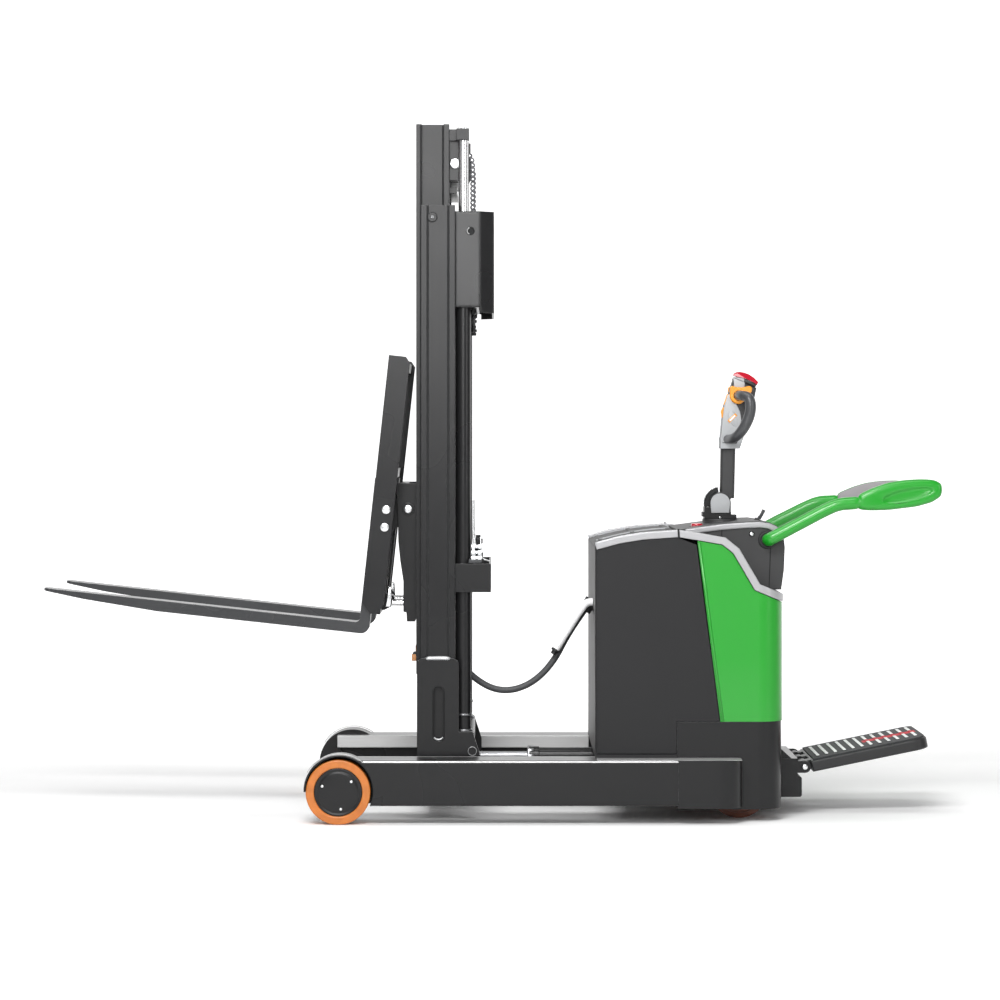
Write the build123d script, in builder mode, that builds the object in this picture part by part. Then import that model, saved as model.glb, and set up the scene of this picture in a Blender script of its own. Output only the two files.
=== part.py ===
from build123d import *
import math
import os

os.makedirs("parts", exist_ok=True)

# Electric reach stacker. Millimetres, origin on the floor in the middle of the box round it.
# X runs along the truck with the forks towards -X, the operator stands at +X, Z is up.
# The operator's left is -Y.

# Clearances
run_gap = 0.3
slide_gap = 0.5
panel_gap = 3.0
step_gap = 2.0
seam_gap = 1.0

# Straddle legs and load wheels
leg_outer = 545.0
leg_width = 155.0
leg_inner = leg_outer - leg_width
leg_bottom = 61.0
leg_top = 208.0
leg_wall = 8.0
leg_plate = 12.0
leg_rear = 600.0
leg_edge_r = 10.0
web_inner = leg_inner + 50.0
web_outer = web_inner + leg_plate
rail_front = -545.0
rail_outer = leg_inner + 22.0
rail_low = 166.0
rail_floor = 75.0
load_wheel_x = -499.0
load_wheel_r = 105.0
load_hub_r = 78.0
load_wheel_width = 82.0
load_wheel_inner = web_outer + 4.0
load_wheel_outer = load_wheel_inner + load_wheel_width
load_axle_r = 15.0
load_axle_end = load_wheel_outer - 18.0
guard_x = load_wheel_x + 4.0
guard_z = load_wheel_r + 6.0
guard_r = 115.0
guard_plate = 5.0
# Where the guard starts behind the wheel and how far it goes round, in degrees
guard_start = -26.0
guard_sweep = 208.0

# Body
body_half = 450.0
body_front = 334.0
body_rear = 948.0
housing_rear = body_rear - 3.0
body_skin = 6.0
body_corner_r = 80.0
housing_low = 41.0
housing_top = 326.0
housing_wall = 8.0
skirt_low = 53.0
skirt_end = 810.0
skirt_r = 75.0
case_rear = 660.0
case_top = 890.0
cover_low = housing_top
cover_front = 640.0
cover_height = 600.0
panel_low = leg_top + 14.0
# Front edge of the rear cover, at its foot and at its head
cover_foot = 742.0
cover_head_z = 911.0
cover_head = 667.0
trim_width = 24.0
trim_proud = 4.0
trim_depth = 10.0
shoulder = 145.0
cowl_half = body_half - shoulder
lid_rear = 603.0
lid_front_z = case_top + 7.0
lid_mid_z = case_top + 40.0
lid_rear_z = case_top + 53.0
lid_thick = 12.0
battery_half = body_half - 40.0
battery_top = 780.0
tank_top = 560.0
tank_y = (150.0, body_half - 30.0)
control_top = 420.0
control_y = (150.0, body_half - 50.0)

# Outline of the lower trim strip, along its middle
trim_line = [
    (336, 898), (409, 918), (488, 931), (604, 939), (669, 929), (753, 914), (793, 882), (862, 764),
    (953, 726),
]
# Outline of the upper trim strip on the cowl
cowl_trim_line = [(636, 940), (755, 956), (831, 962), (880, 964), (909, 960), (931, 950), (943, 937)]
# Side outline of the cowl's hump
hump = [
    (610, 905), (610, 947), (755, 966), (831, 973), (883, 975), (912, 971), (937, 960), (952, 943),
    (960, 915), (963, 890), (960, 815), (951, 750), (884, 750), (800, 858), (745, 895),
]

# Steering, drive wheel and castors
steer_x = 769.0
drive_wheel_r = 115.0
drive_wheel_width = 75.0
drive_axle_r = 20.0
gear_inner = drive_wheel_width / 2 + 8.0
gear_outer = gear_inner + 50.0
castor_x = 775.0
castor_y = body_half - 150.0
castor_r = 98.0
castor_width = 45.0
castor_trail = 35.0
castor_axle_r = 8.0
castor_stem_r = 12.0
castor_crown = 2 * castor_r + 20.0
castor_plate = 6.0

# Tiller
tiller_x = 767.0
tiller_z = 1030.0
tiller_pin_r = 10.0
steer_shaft_r = 22.0
tiller_base_low = 977.0
tiller_base_half = 40.0
tiller_cheek = 14.0
tiller_drum_r = 36.0
head_low = 1216.0
head_outline = [(769, 1216), (831, 1216), (848, 1262), (882, 1380), (890, 1419), (814, 1452), (783, 1358)]
head_half = 42.0
grip_r = 15.5
throttle_x = 827.0
throttle_z = 1393.0
throttle_r = grip_r + 7.0
belly_travel = 6.0
belly_stem_r = 6.0
belly_stem_y = 20.0
rocker_axis = (786.0, 1336.0)
rocker_half = 16.0
rocker_pin_r = 3.0
rocker_outline = [(774, 1318), (790, 1322), (792, 1350), (778, 1354), (771, 1340)]

# Stop button and key on the cowl
stop_x = 682.0
stop_y = -150.0
stop_r = 20.0
stop_stem_r = 9.0
stop_travel = 6.0
stop_seat = 944.0
stop_pocket_r = stop_r + 9.0
key_x = 886.0
key_y = -90.0
key_z = 968.0
key_lean = 30.0
key_stem_r = 5.0

# Side arms
arm_x = 905.0
arm_z = 914.0
arm_y = cowl_half + 41.0
arm_tube_r = 18.0
arm_bend_r = 38.0
arm_end = 1477.0
elbow = [
    (arm_x, -cowl_half + 26, arm_z), (arm_x, -arm_y, arm_z), (1136, -arm_y, 1036), (1240, -arm_y, 1047),
]
paddle = [
    (1196, 1014), (1225, 1008), (1340, 1012), (1420, 1024), (1458, 1048), (arm_end, 1074), (1474, 1092),
    (1448, 1107), (1400, 1112), (1330, 1108), (1240, 1076), (1196, 1056),
]
paddle_thick = 30.0
paddle_lean = 6.0
recess_at = (1366, 1062)
pad_at = (1350, 1060)
pad_thick = 10.0

# Platform
platform_z = 158.0
platform_rise = 11.6
platform_length = 420.0
platform_half = 212.0
platform_thick = 38.0
platform_pin_r = 10.0
bracket_half = 228.0
bracket_rear = housing_rear + 67.0
platform_x = bracket_rear + 24.0
bracket_low = 58.0
bracket_top = 186.0
bracket_wall = 6.0
bracket_step = platform_z - 32.0
knuckle_r = 18.0
mat_thick = 5.0
mat_rib = 2.5
mat_ribs = 14

# Mast
outer_front = -236.0
outer_rear = -124.0
outer_face = leg_inner - 60.0
outer_lip = outer_face - 50.0
outer_web = 12.0
outer_flange = 18.0
outer_low = 138.0
outer_top = 2016.0
inner_front = -253.0
inner_rear = -144.0
inner_face = outer_lip - step_gap
inner_lip = inner_face - 56.0
inner_web = 10.0
inner_flange = 18.0
inner_low = 470.0
inner_top = 2287.0
roller_axle_r = 15.0
foot_plate = 16.0
foot_roller_x = (-222.0, -72.0)
foot_roller_width = 42.0
top_roller_z = 1976.0
bottom_roller_z = 520.0
beam_x = (-245.0, -205.0)
beam_low = 90.0
beam_top = outer_low
rear_beam_x = (-122.0, -62.0)
rear_beam_low = 215.0
rear_beam_top = 280.0
lift_x = -97.0
lift_y = outer_face - 40.0
lift_barrel_r = 25.0
lift_bore_r = 20.0
lift_rod_r = 16.0
lift_barrel_top = 1880.0
lift_gland = 35.0
gland_r = lift_barrel_r + 2.0
collar_low = 334.0
collar_height = 8.0
lift_rod_low = 600.0
crosshead_rear = -112.0
crosshead_top = inner_top - 17.0
crosshead_height = 168.0
crosshead_low = crosshead_top - crosshead_height
clamp_height = 38.0
lift_rod_top = crosshead_top - clamp_height
tie_low = 1662.0
tie_top = 1996.0
tie_plate = 6.0
tie_bend = -42.0
tie_rear = 4.0
anchor_beam_top = 1680.0
anchor_length = 78.0
valve_low = 742.0
valve_top = 836.0
valve_rear = -6.0

# Lift chains
pulley_x = -125.0
pulley_z = crosshead_low + 56.0
pulley_y = inner_lip - 32.0
pulley_width = 24.0
pulley_flange_r = 67.0
pulley_groove_r = 49.0
pulley_axle_r = 25.0
axle_end_r = 18.0
chain_r = 58.0
chain_width = 15.0
chain_depth = 16.0
chain_pitch = 15.875
chain_waist = 2.5
chain_low = 800.0

# Reach cylinder
reach_z = 175.0
reach_barrel_r = 28.0
reach_bore_r = reach_barrel_r - 6.0
reach_rod_r = 14.0
reach_front = 122.0
reach_back = steer_x - drive_wheel_r - 32.0
reach_piston = (313.0, 334.0)

# Lift carriage and fork tilt
pivot_x = -281.0
pivot_z = 1014.0
pivot_r = 20.0
tilt_back = 6.2
carriage_plate = 12.0
carriage_outer = inner_lip - 4.0
carriage_inner = carriage_outer - carriage_plate
carriage_rear = -165.0
carriage_outline = [
    (-321, 1100), (-315, 972), (-314, 907), (-307, 839), (-297, 775), (-297, 673), (-287, 670), (-285, 640),
    (-258, 640), (-240, 690), (carriage_rear, 690), (carriage_rear, 1100),
]
carriage_roller_z = (1040.0, 780.0)
tilt_z = 700.0
tilt_barrel_r = 22.0
tilt_rod_r = 11.0
tilt_eye_x = -350.0
tilt_front = -262.0
tilt_rear = -176.0
tilt_eye_r = 15.0
tilt_eye_half = 11.0
tilt_pin_lift = 3.5
tilt_eye_hole_r = 12.0
tilt_pin_r = 8.0

# Fork frame and forks, measured along the tilted frame from the pivot
bar_front = -82.0
bar_rear = -52.0
upper_bar = (-75.0, 60.0)
lower_bar = (-352.0, -250.0)
hook_x = -67.0
hook_rise = 14.0
bar_half = 343.0
lug_plate = 24.0
lug_outer = carriage_inner - 16.0
lug_inner = lug_outer - lug_plate
lug_front = bar_front + 2.0
lug_rear = bar_rear + 8.0
tilt_y = lug_inner - 16.0
fork_y = 289.0
fork_width = 98.0
fork_thick = 34.0
fork_length = 1045.0
fork_sole = -421.0
fork_heel = 36.0
fork_heel_r = 28.0
fork_crook_r = 14.0
fork_tip = 8.0
fork_taper = 380.0
fork_shank_top = 92.0
rest_inner = 343.0
rest_outer = 357.0
rest_top = 499.0
rest_front = -114.0
rest_rear = -43.0
rest_bar_x = -68.0
rest_bar_z = (112.0, 471.0)

# Mast hose
hose_y = -120.0
hose_r = 12.0
sleeve_r = 19.0
hose_points = [(306, 672), (256, 603), (200, 492), (122, 420), (30, 398), (-56, 436), (-100, 484)]


def write_piece(piece, name):
    piece.part.label = name
    export_step(piece.part, f"parts/{name}.step")


def block(x_span, y_span, z_span, mode=Mode.ADD):
    spans = (x_span, y_span, z_span)
    with Locations(tuple((low + high) / 2 for low, high in spans)):
        Box(*(high - low for low, high in spans), mode=mode)


def round_x(y, z, r, x_span, mode=Mode.ADD):
    with Locations(Location((sum(x_span) / 2, y, z), (0, 90, 0))):
        Cylinder(r, x_span[1] - x_span[0], mode=mode)


def round_y(x, z, r, y_span, mode=Mode.ADD):
    with Locations(Location((x, sum(y_span) / 2, z), (90, 0, 0))):
        Cylinder(r, y_span[1] - y_span[0], mode=mode)


def round_z(x, y, r, z_span, mode=Mode.ADD):
    with Locations((x, y, sum(z_span) / 2)):
        Cylinder(r, z_span[1] - z_span[0], mode=mode)


def slab(plane, y_inner):
    # A side plane on the operator's left, from which extrude goes outwards
    return plane.offset(y_inner)


def shifted(points, distance):
    # The same open line, moved sideways by a distance, with mitred corners
    normals = []
    for (x0, z0), (x1, z1) in zip(points, points[1:]):
        length = math.hypot(x1 - x0, z1 - z0)
        normals.append((-(z1 - z0) / length, (x1 - x0) / length))
    moved = []
    for index, (x, z) in enumerate(points):
        before = normals[max(index - 1, 0)]
        after = normals[min(index, len(normals) - 1)]
        share = 1 + before[0] * after[0] + before[1] * after[1]
        reach = distance / share
        moved.append((x + reach * (before[0] + after[0]), z + reach * (before[1] + after[1])))
    return moved


def band(points, low, high):
    # Outline of a strip that runs beside a line, between two distances from it
    return shifted(points, high) + shifted(points, low)[::-1]


# Legs: outer box, inner channel for the reach rollers, wheel guard and stub axle
with BuildPart() as legs:
    run = (rail_front, leg_rear)
    block(run, (-web_outer, -web_inner), (leg_bottom, leg_top))
    block(run, (-web_inner, -rail_outer), (leg_top - leg_plate, leg_top))
    block(run, (-web_inner, -leg_inner), (leg_bottom, rail_floor))
    block((rail_front, rail_front + leg_plate), (-web_inner, -leg_inner), (rail_floor, rail_low))
    with BuildSketch(Plane.YZ.offset(guard_x)) as box_outline:
        with Locations((-(web_outer + leg_outer) / 2, (leg_bottom + leg_top) / 2)):
            Rectangle(leg_outer - web_outer, leg_top - leg_bottom)
        fillet(box_outline.vertices().group_by(Axis.X)[0], leg_edge_r)
    extrude(amount=leg_rear - guard_x)
    hollow = (-leg_outer + leg_wall, -web_outer)
    inside_z = (leg_bottom + leg_wall, leg_top - leg_wall)
    block((guard_x, leg_rear - leg_wall), hollow, inside_z, Mode.SUBTRACT)
    round_y(guard_x, guard_z, guard_r, (-leg_outer, -web_outer), Mode.SUBTRACT)
    with BuildSketch(slab(Plane.XZ, web_outer)):
        with BuildLine():
            over = CenterArc((guard_x, guard_z), guard_r, guard_start, guard_sweep)
            under = CenterArc((guard_x, guard_z), guard_r - guard_plate, guard_start, guard_sweep)
            Line(over @ 0, under @ 0)
            Line(over @ 1, under @ 1)
        make_face()
    extrude(amount=leg_outer - web_outer)
    with BuildSketch(slab(Plane.XZ, web_inner)):
        with Locations((guard_x, guard_z)):
            Circle(guard_r)
        with Locations((guard_x, leg_bottom - guard_r)):
            Rectangle(2 * guard_r, 2 * guard_r, mode=Mode.SUBTRACT)
    extrude(amount=leg_plate)
    round_y(load_wheel_x, load_wheel_r, load_axle_r, (-load_axle_end, -web_outer))
    mirror(about=Plane.XZ)
write_piece(legs, "legs")

# Reach rails: bright bars along the inner edge of each leg
with BuildPart() as rails:
    with BuildSketch(Plane.YZ.offset(rail_front)) as rail_outline:
        with Locations((-(leg_inner + rail_outer) / 2, (rail_low + leg_top) / 2)):
            Rectangle(rail_outer - leg_inner, leg_top - rail_low)
        chamfer(rail_outline.vertices().group_by(Axis.X)[-1], 2)
    extrude(amount=body_front - rail_front)
    mirror(about=Plane.XZ)
write_piece(rails, "reach_rails")

# Load wheels: polyurethane tyre on a dark hub with a closed outer face
with BuildPart() as load_tyre_left:
    with BuildSketch(Plane.XY):
        tyre_mid = (load_hub_r + load_wheel_r) / 2
        with Locations((load_wheel_x + tyre_mid, -(load_wheel_inner + load_wheel_outer) / 2)):
            RectangleRounded(load_wheel_r - load_hub_r, load_wheel_width, 5)
    revolve(axis=Axis((load_wheel_x, 0, 0), (0, 1, 0)))
    load_tyre_left.part = load_tyre_left.part.moved(Location((0, 0, load_wheel_r)))
write_piece(load_tyre_left, "load_tyre_left")

with BuildPart() as load_tyre_right:
    mirror(load_tyre_left.part, about=Plane.XZ)
write_piece(load_tyre_right, "load_tyre_right")

with BuildPart() as load_hub_left:
    face_in = load_wheel_inner + 2
    face_out = load_wheel_outer - 6
    round_y(load_wheel_x, load_wheel_r, load_hub_r - run_gap / 2, (-face_out, -face_in))
    round_y(load_wheel_x, load_wheel_r, load_hub_r - 14, (-face_out, -face_out + 5), Mode.SUBTRACT)
    round_y(load_wheel_x, load_wheel_r, 24, (-face_out, -face_out + 5))
    bore_end = load_axle_end + slide_gap
    round_y(load_wheel_x, load_wheel_r, load_axle_r + run_gap, (-bore_end, -face_in), Mode.SUBTRACT)
write_piece(load_hub_left, "load_hub_left")

with BuildPart() as load_hub_right:
    mirror(load_hub_left.part, about=Plane.XZ)
write_piece(load_hub_right, "load_hub_right")

# Chassis frame: lower housing with skirts that run into the legs, castor posts and the steering plate
with BuildPart() as chassis:
    with BuildSketch(Plane.XY.offset(housing_low)) as plan:
        with Locations(((leg_rear + housing_rear) / 2, 0)):
            Rectangle(housing_rear - leg_rear, 2 * body_half)
        fillet(plan.vertices().group_by(Axis.X)[-1], body_corner_r)
    extrude(amount=housing_top - housing_low)
    with BuildSketch(Plane.XY.offset(skirt_low)) as skirt_plan:
        with Locations(((leg_rear + skirt_end) / 2, 0)):
            Rectangle(skirt_end - leg_rear, 2 * leg_outer)
        fillet(skirt_plan.vertices().group_by(Axis.X)[-1], skirt_r)
    extrude(amount=leg_top - skirt_low)
    with BuildSketch(Plane.XY.offset(housing_low)) as inside:
        with Locations(((leg_rear + housing_rear - housing_wall) / 2, 0)):
            Rectangle(housing_rear - housing_wall - leg_rear, 2 * (body_half - housing_wall))
        fillet(inside.vertices().group_by(Axis.X)[-1], body_corner_r - housing_wall)
    extrude(amount=housing_top - housing_wall - housing_low, mode=Mode.SUBTRACT)
    with BuildSketch(Plane.XY.offset(skirt_low)) as skirt_inside:
        with Locations(((leg_rear + skirt_end - housing_wall) / 2, 0)):
            Rectangle(skirt_end - housing_wall - leg_rear, 2 * (leg_outer - housing_wall))
        fillet(skirt_inside.vertices().group_by(Axis.X)[-1], skirt_r - housing_wall)
    extrude(amount=leg_top - housing_wall - skirt_low, mode=Mode.SUBTRACT)
    post_low = castor_crown + 12
    for side in (-1, 1):
        round_z(castor_x, side * castor_y, 34, (post_low, housing_top - housing_wall))
        stem_bore = (post_low, post_low + 41)
        round_z(castor_x, side * castor_y, castor_stem_r + run_gap, stem_bore, Mode.SUBTRACT)
    block((reach_back, reach_back + 14), (-40, 40), (reach_z - 26, housing_top - housing_wall))
    round_z(steer_x, 0, 96, (housing_top - housing_wall, housing_top), Mode.SUBTRACT)
write_piece(chassis, "chassis_frame")

# Battery housing: floor on the legs, walls, base strips and hose elbow, with the side panels as own solids
case_side = body_half - body_skin
panel_inner = case_side + run_gap
hose_start = Vector(hose_points[0][0], hose_y, hose_points[0][1])
hose_next = Vector(hose_points[1][0], hose_y, hose_points[1][1])
hose_dir = (hose_next - hose_start).normalized()
elbow_r = sleeve_r + 3
elbow_run = 26.0
trim_low = shifted(trim_line, -trim_width / 2 - step_gap)
with BuildPart() as battery_housing:
    inside_y = (-case_side + body_skin, case_side - body_skin)
    step_low = housing_top + 1
    step_top = step_low + 8
    block((body_front, leg_rear), (-case_side, case_side), (leg_top, case_top))
    block((leg_rear, case_rear), (-case_side, case_side), (step_low, case_top))
    block((body_front + 8, leg_rear - 8), inside_y, (leg_top + 8, case_top), Mode.SUBTRACT)
    block((leg_rear - 8, case_rear - body_skin), inside_y, (step_top, case_top), Mode.SUBTRACT)
    for side in (-1, 1):
        with BuildSketch(Plane.YZ.offset(body_front)):
            with BuildLine():
                Polyline(
                    (side * (case_side - 1), leg_top), (side * (body_half + 16), leg_top),
                    (side * body_half, panel_low - step_gap),
                    (side * (case_side - 1), panel_low - step_gap), close=True,
                )
            make_face()
        extrude(amount=leg_rear - body_front)
    elbow_back = hose_start - hose_dir * elbow_run
    round_x(hose_y, elbow_back.Z, elbow_r, (elbow_back.X, body_front + 4))
    elbow_length = elbow_run + 18
    with Locations(Plane(origin=hose_start - hose_dir * (elbow_length / 2), z_dir=hose_dir).location):
        Cylinder(elbow_r, elbow_length)
    for y_inner in (panel_inner, -body_half):
        with BuildSketch(slab(Plane.XZ, y_inner)):
            with BuildLine():
                Polyline(
                    (body_front + 6, panel_low), (leg_rear - seam_gap, panel_low),
                    (leg_rear - seam_gap, housing_top + seam_gap),
                    (cover_foot - panel_gap, housing_top + seam_gap),
                    (cover_head - panel_gap, cover_head_z - 3 * panel_gap),
                    trim_low[3], trim_low[2], trim_low[1], (body_front + 6, trim_low[0][1]), close=True,
                )
            make_face()
        extrude(amount=body_half - panel_inner)
write_piece(battery_housing, "battery_housing")

# Rear cover: moulded shell round both sides and the back
cover_top = shifted(trim_line, -trim_width / 2 - step_gap)[4:]
with BuildPart() as rear_cover:
    with BuildSketch(Plane.XY.offset(cover_low)) as cover_plan:
        with Locations(((cover_front + body_rear) / 2, 0)):
            Rectangle(body_rear - cover_front, 2 * body_half)
        fillet(cover_plan.vertices().group_by(Axis.X)[-1], body_corner_r)
    extrude(amount=cover_height)
    with BuildSketch(Plane.XY.offset(cover_low)) as cover_inside:
        with Locations(((cover_front + body_rear - body_skin) / 2, 0)):
            Rectangle(body_rear - body_skin - cover_front, 2 * (body_half - body_skin))
        fillet(cover_inside.vertices().group_by(Axis.X)[-1], body_corner_r - body_skin)
    extrude(amount=cover_height, mode=Mode.SUBTRACT)
    with BuildSketch(Plane.XZ):
        with BuildLine():
            Polyline(
                (cover_foot, cover_low), (cover_head, cover_head_z), *cover_top,
                (body_rear + 1, cover_top[-1][1]), (body_rear + 1, cover_low), close=True,
            )
        make_face()
    extrude(amount=body_half + 1, both=True, mode=Mode.INTERSECT)
write_piece(rear_cover, "rear_cover")

# Trim strips: lower strip round both sides and the back, upper pair on the cowl
trim_half = body_half + trim_proud
trim_end = body_rear + trim_proud
ledge_half = trim_half - trim_depth
ledge_end = trim_end - trim_depth
with BuildPart() as trim:
    with BuildSketch(Plane.XY.offset(cover_low)) as trim_plan:
        with Locations(((body_front + trim_end) / 2, 0)):
            Rectangle(trim_end - body_front, 2 * trim_half)
        fillet(trim_plan.vertices().group_by(Axis.X)[-1], body_corner_r + trim_proud)
    extrude(amount=case_top)
    with BuildSketch(Plane.XY.offset(cover_low)) as trim_inside:
        with Locations(((body_front + ledge_end) / 2, 0)):
            Rectangle(ledge_end - body_front, 2 * ledge_half)
        fillet(trim_inside.vertices().group_by(Axis.X)[-1], body_corner_r + trim_proud - trim_depth)
    extrude(amount=case_top, mode=Mode.SUBTRACT)
    with BuildSketch(Plane.XZ):
        with BuildLine():
            Polyline(*band(trim_line, -trim_width / 2, trim_width / 2), close=True)
        make_face()
    extrude(amount=trim_half + 1, both=True, mode=Mode.INTERSECT)
    for y_inner in (cowl_half, -cowl_half - trim_proud - 2):
        with BuildSketch(slab(Plane.XZ, y_inner)):
            with BuildLine():
                Polyline(*band(cowl_trim_line, -9, 9), close=True)
            make_face()
        extrude(amount=trim_proud + 2)
write_piece(trim, "trim_strips")

# Rear cowl: narrow hump between the arms on a ledge that follows the lower trim
ledge_line = shifted(trim_line, -trim_width / 2)[3:]
with BuildPart() as ledge:
    with BuildSketch(Plane.XY.offset(cover_low)) as ledge_plan:
        with Locations(((lid_rear + ledge_end) / 2, 0)):
            Rectangle(ledge_end - lid_rear - 4, 2 * (ledge_half - run_gap))
        fillet(ledge_plan.vertices().group_by(Axis.X)[-1], body_corner_r + trim_proud - trim_depth)
    extrude(amount=case_top)
    with BuildSketch(Plane.XZ):
        with BuildLine():
            Polyline(*band(ledge_line, 0, body_skin), close=True)
        make_face()
    extrude(amount=trim_half, both=True, mode=Mode.INTERSECT)
with BuildPart() as cowl:
    with BuildSketch(Plane.XZ):
        with BuildLine():
            Polyline(*hump, close=True)
        make_face()
    extrude(amount=cowl_half, both=True)
    rims = cowl.edges().filter_by(lambda edge: abs(edge.center().Y) > cowl_half - 1)
    fillet(rims.filter_by(lambda edge: edge.center().Z > hump[8][1] + 15), 10)
    with BuildSketch(Plane.XZ):
        with BuildLine():
            Polyline(*hump, close=True)
        make_face()
        offset(amount=-body_skin, kind=Kind.INTERSECTION)
    extrude(amount=cowl_half - body_skin, both=True, mode=Mode.SUBTRACT)
    add(ledge.part)
    for side in (-1, 1):
        boss = sorted((side * (cowl_half - 36), side * cowl_half))
        bore = sorted((side * (cowl_half - 27), side * cowl_half))
        round_y(arm_x, arm_z, arm_tube_r + 10, boss)
        round_y(arm_x, arm_z, arm_tube_r + run_gap, bore, Mode.SUBTRACT)
    round_z(steer_x, 0, 60, (960, tiller_base_low - run_gap))
    round_z(steer_x, 0, steer_shaft_r + run_gap, (850, tiller_base_low), Mode.SUBTRACT)
    round_z(stop_x, stop_y, stop_pocket_r + 5, (stop_seat - 8, stop_seat + 8))
    round_z(stop_x, stop_y, stop_pocket_r, (stop_seat, hump[2][1]), Mode.SUBTRACT)
    round_z(stop_x, stop_y, stop_r + 4, (stop_seat - 30, stop_seat))
    round_z(stop_x, stop_y, stop_stem_r + run_gap, (stop_seat - 30, stop_seat), Mode.SUBTRACT)
    key_dir = Vector(math.sin(math.radians(key_lean)), 0, math.cos(math.radians(key_lean)))
    key_plane = Plane(origin=(key_x, key_y, key_z), z_dir=key_dir)
    with Locations(key_plane.location):
        Cylinder(11, 24)
        Cylinder(key_stem_r + run_gap, 25, mode=Mode.SUBTRACT)
write_piece(cowl, "rear_cowl")

# Top cover: crowned battery lid
with BuildPart() as top_cover:
    lid_half = ledge_half
    lid_x = (body_front + lid_rear) / 2
    with BuildSketch(Plane.XZ):
        with BuildLine():
            Polyline((body_front, case_top), (body_front, lid_front_z))
            ThreePointArc((body_front, lid_front_z), (lid_x, lid_mid_z), (lid_rear, lid_rear_z))
            Polyline((lid_rear, lid_rear_z), (lid_rear, case_top), (body_front, case_top))
        make_face()
    extrude(amount=lid_half, both=True)
    with BuildSketch(Plane.XZ):
        with BuildLine():
            Polyline(
                (body_front + 60, case_top), (lid_x, lid_mid_z - lid_thick),
                (lid_rear - 6, lid_rear_z - lid_thick), (lid_rear - 6, case_top), close=True,
            )
        make_face()
    extrude(amount=lid_half - 6, both=True, mode=Mode.SUBTRACT)
write_piece(top_cover, "top_cover")

# Battery: tray with cells
with BuildPart() as battery:
    block((360, 590), (-battery_half, battery_half), (leg_top + 8, battery_top))
    cell_pitch = 2 * (battery_half - 60) / 5
    cell_half = cell_pitch / 2 - 8
    for row in range(6):
        for column in range(2):
            y = 60 - battery_half + row * cell_pitch
            x = 417 + column * 115
            block((x - 50, x + 50), (y - cell_half, y + cell_half), (battery_top, battery_top + 32))
            round_z(x, y, 16, (battery_top + 32, battery_top + 44))
write_piece(battery, "battery")

# Power pack: oil tank, pump motor and controller as own solids
with BuildPart() as power_pack:
    block((690, 900), (-tank_y[1], -tank_y[0]), (housing_top, tank_top))
    block((700, 880), control_y, (housing_top, control_top))
    for fin in range(8):
        fin_y = (control_y[0] + 10, control_y[1] - 10)
        block((708 + fin * 22, 714 + fin * 22), fin_y, (control_top, control_top + 30))
    pump_y = -sum(tank_y) / 2
    round_x(pump_y, tank_top + 80, 62, (700, 850))
    block((850, 890), (pump_y - 55, pump_y + 55), (tank_top + 2, tank_top + 140))
    block((760, 800), (pump_y - 45, pump_y + 45), (tank_top, tank_top + 22))
write_piece(power_pack, "power_pack")

# Reach cylinder barrel with its gland and rear lug
with BuildPart() as reach_barrel:
    round_x(0, reach_z, reach_barrel_r, (reach_front + 30, reach_back - 30))
    round_x(0, reach_z, reach_barrel_r + 4, (reach_front, reach_front + 34))
    block((reach_back - 40, reach_back), (-20, 20), (reach_z - 24, reach_z + 24))
    round_x(0, reach_z, reach_bore_r, (reach_front + 34, reach_back - 44), Mode.SUBTRACT)
    round_x(0, reach_z, reach_rod_r + run_gap, (reach_front, reach_front + 40), Mode.SUBTRACT)
write_piece(reach_barrel, "reach_barrel")

# Platform bracket: box behind the housing, hinge lugs and the hinge pin
with BuildPart() as bracket:
    with BuildSketch(Plane.XZ) as bracket_side:
        with BuildLine():
            Polyline(
                (housing_rear, bracket_low), (bracket_rear + 14, bracket_low),
                (bracket_rear + 14, bracket_step), (bracket_rear, bracket_step),
                (bracket_rear, bracket_top), (housing_rear, bracket_top), close=True,
            )
        make_face()
        fillet(bracket_side.vertices().group_by(Axis.X)[-1], 8)
    extrude(amount=bracket_half, both=True)
    bracket_y = bracket_half - bracket_wall
    box_x = (housing_rear, bracket_rear - bracket_wall)
    block(box_x, (-bracket_y, bracket_y), (bracket_low - 8, bracket_top - bracket_wall), Mode.SUBTRACT)
    back_x = (housing_rear, housing_rear + bracket_wall)
    block(back_x, (-bracket_half, bracket_half), (bracket_low + 2, bracket_top))
    for side in (-1, 1):
        with BuildSketch(slab(Plane.XZ, side * (bracket_half - 12))):
            with BuildLine():
                Polyline(
                    (body_rear, bracket_top), (bracket_rear - 20, bracket_top),
                    (body_rear, bracket_top + 40), close=True,
                )
            make_face()
        extrude(amount=bracket_wall)
        low = sorted((side * (platform_half + 3), side * bracket_half))
        round_y(platform_x, platform_z, 20, low)
        block((bracket_rear - 12, platform_x), low, (platform_z - 20, platform_z + 20))
    round_y(platform_x, platform_z, platform_pin_r, (-bracket_half - 6, bracket_half + 6))
write_piece(bracket, "platform_bracket")

# Platform deck with hinge knuckles, tilted up as it stands
rise = math.radians(platform_rise)
deck_dir = Vector(math.cos(rise), 0, math.sin(rise))
deck_plane = Plane(origin=(platform_x, 0, platform_z), x_dir=deck_dir, z_dir=(0, -1, 0))
deck_low = -knuckle_r - 6.0
deck_top = deck_low + platform_thick


def deck_level(height):
    # A plane along the deck at a height over its hinge
    origin = deck_plane.from_local_coords(Vector(0, height, 0))
    return Plane(origin=origin, x_dir=deck_plane.x_dir, z_dir=deck_plane.y_dir)


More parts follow.
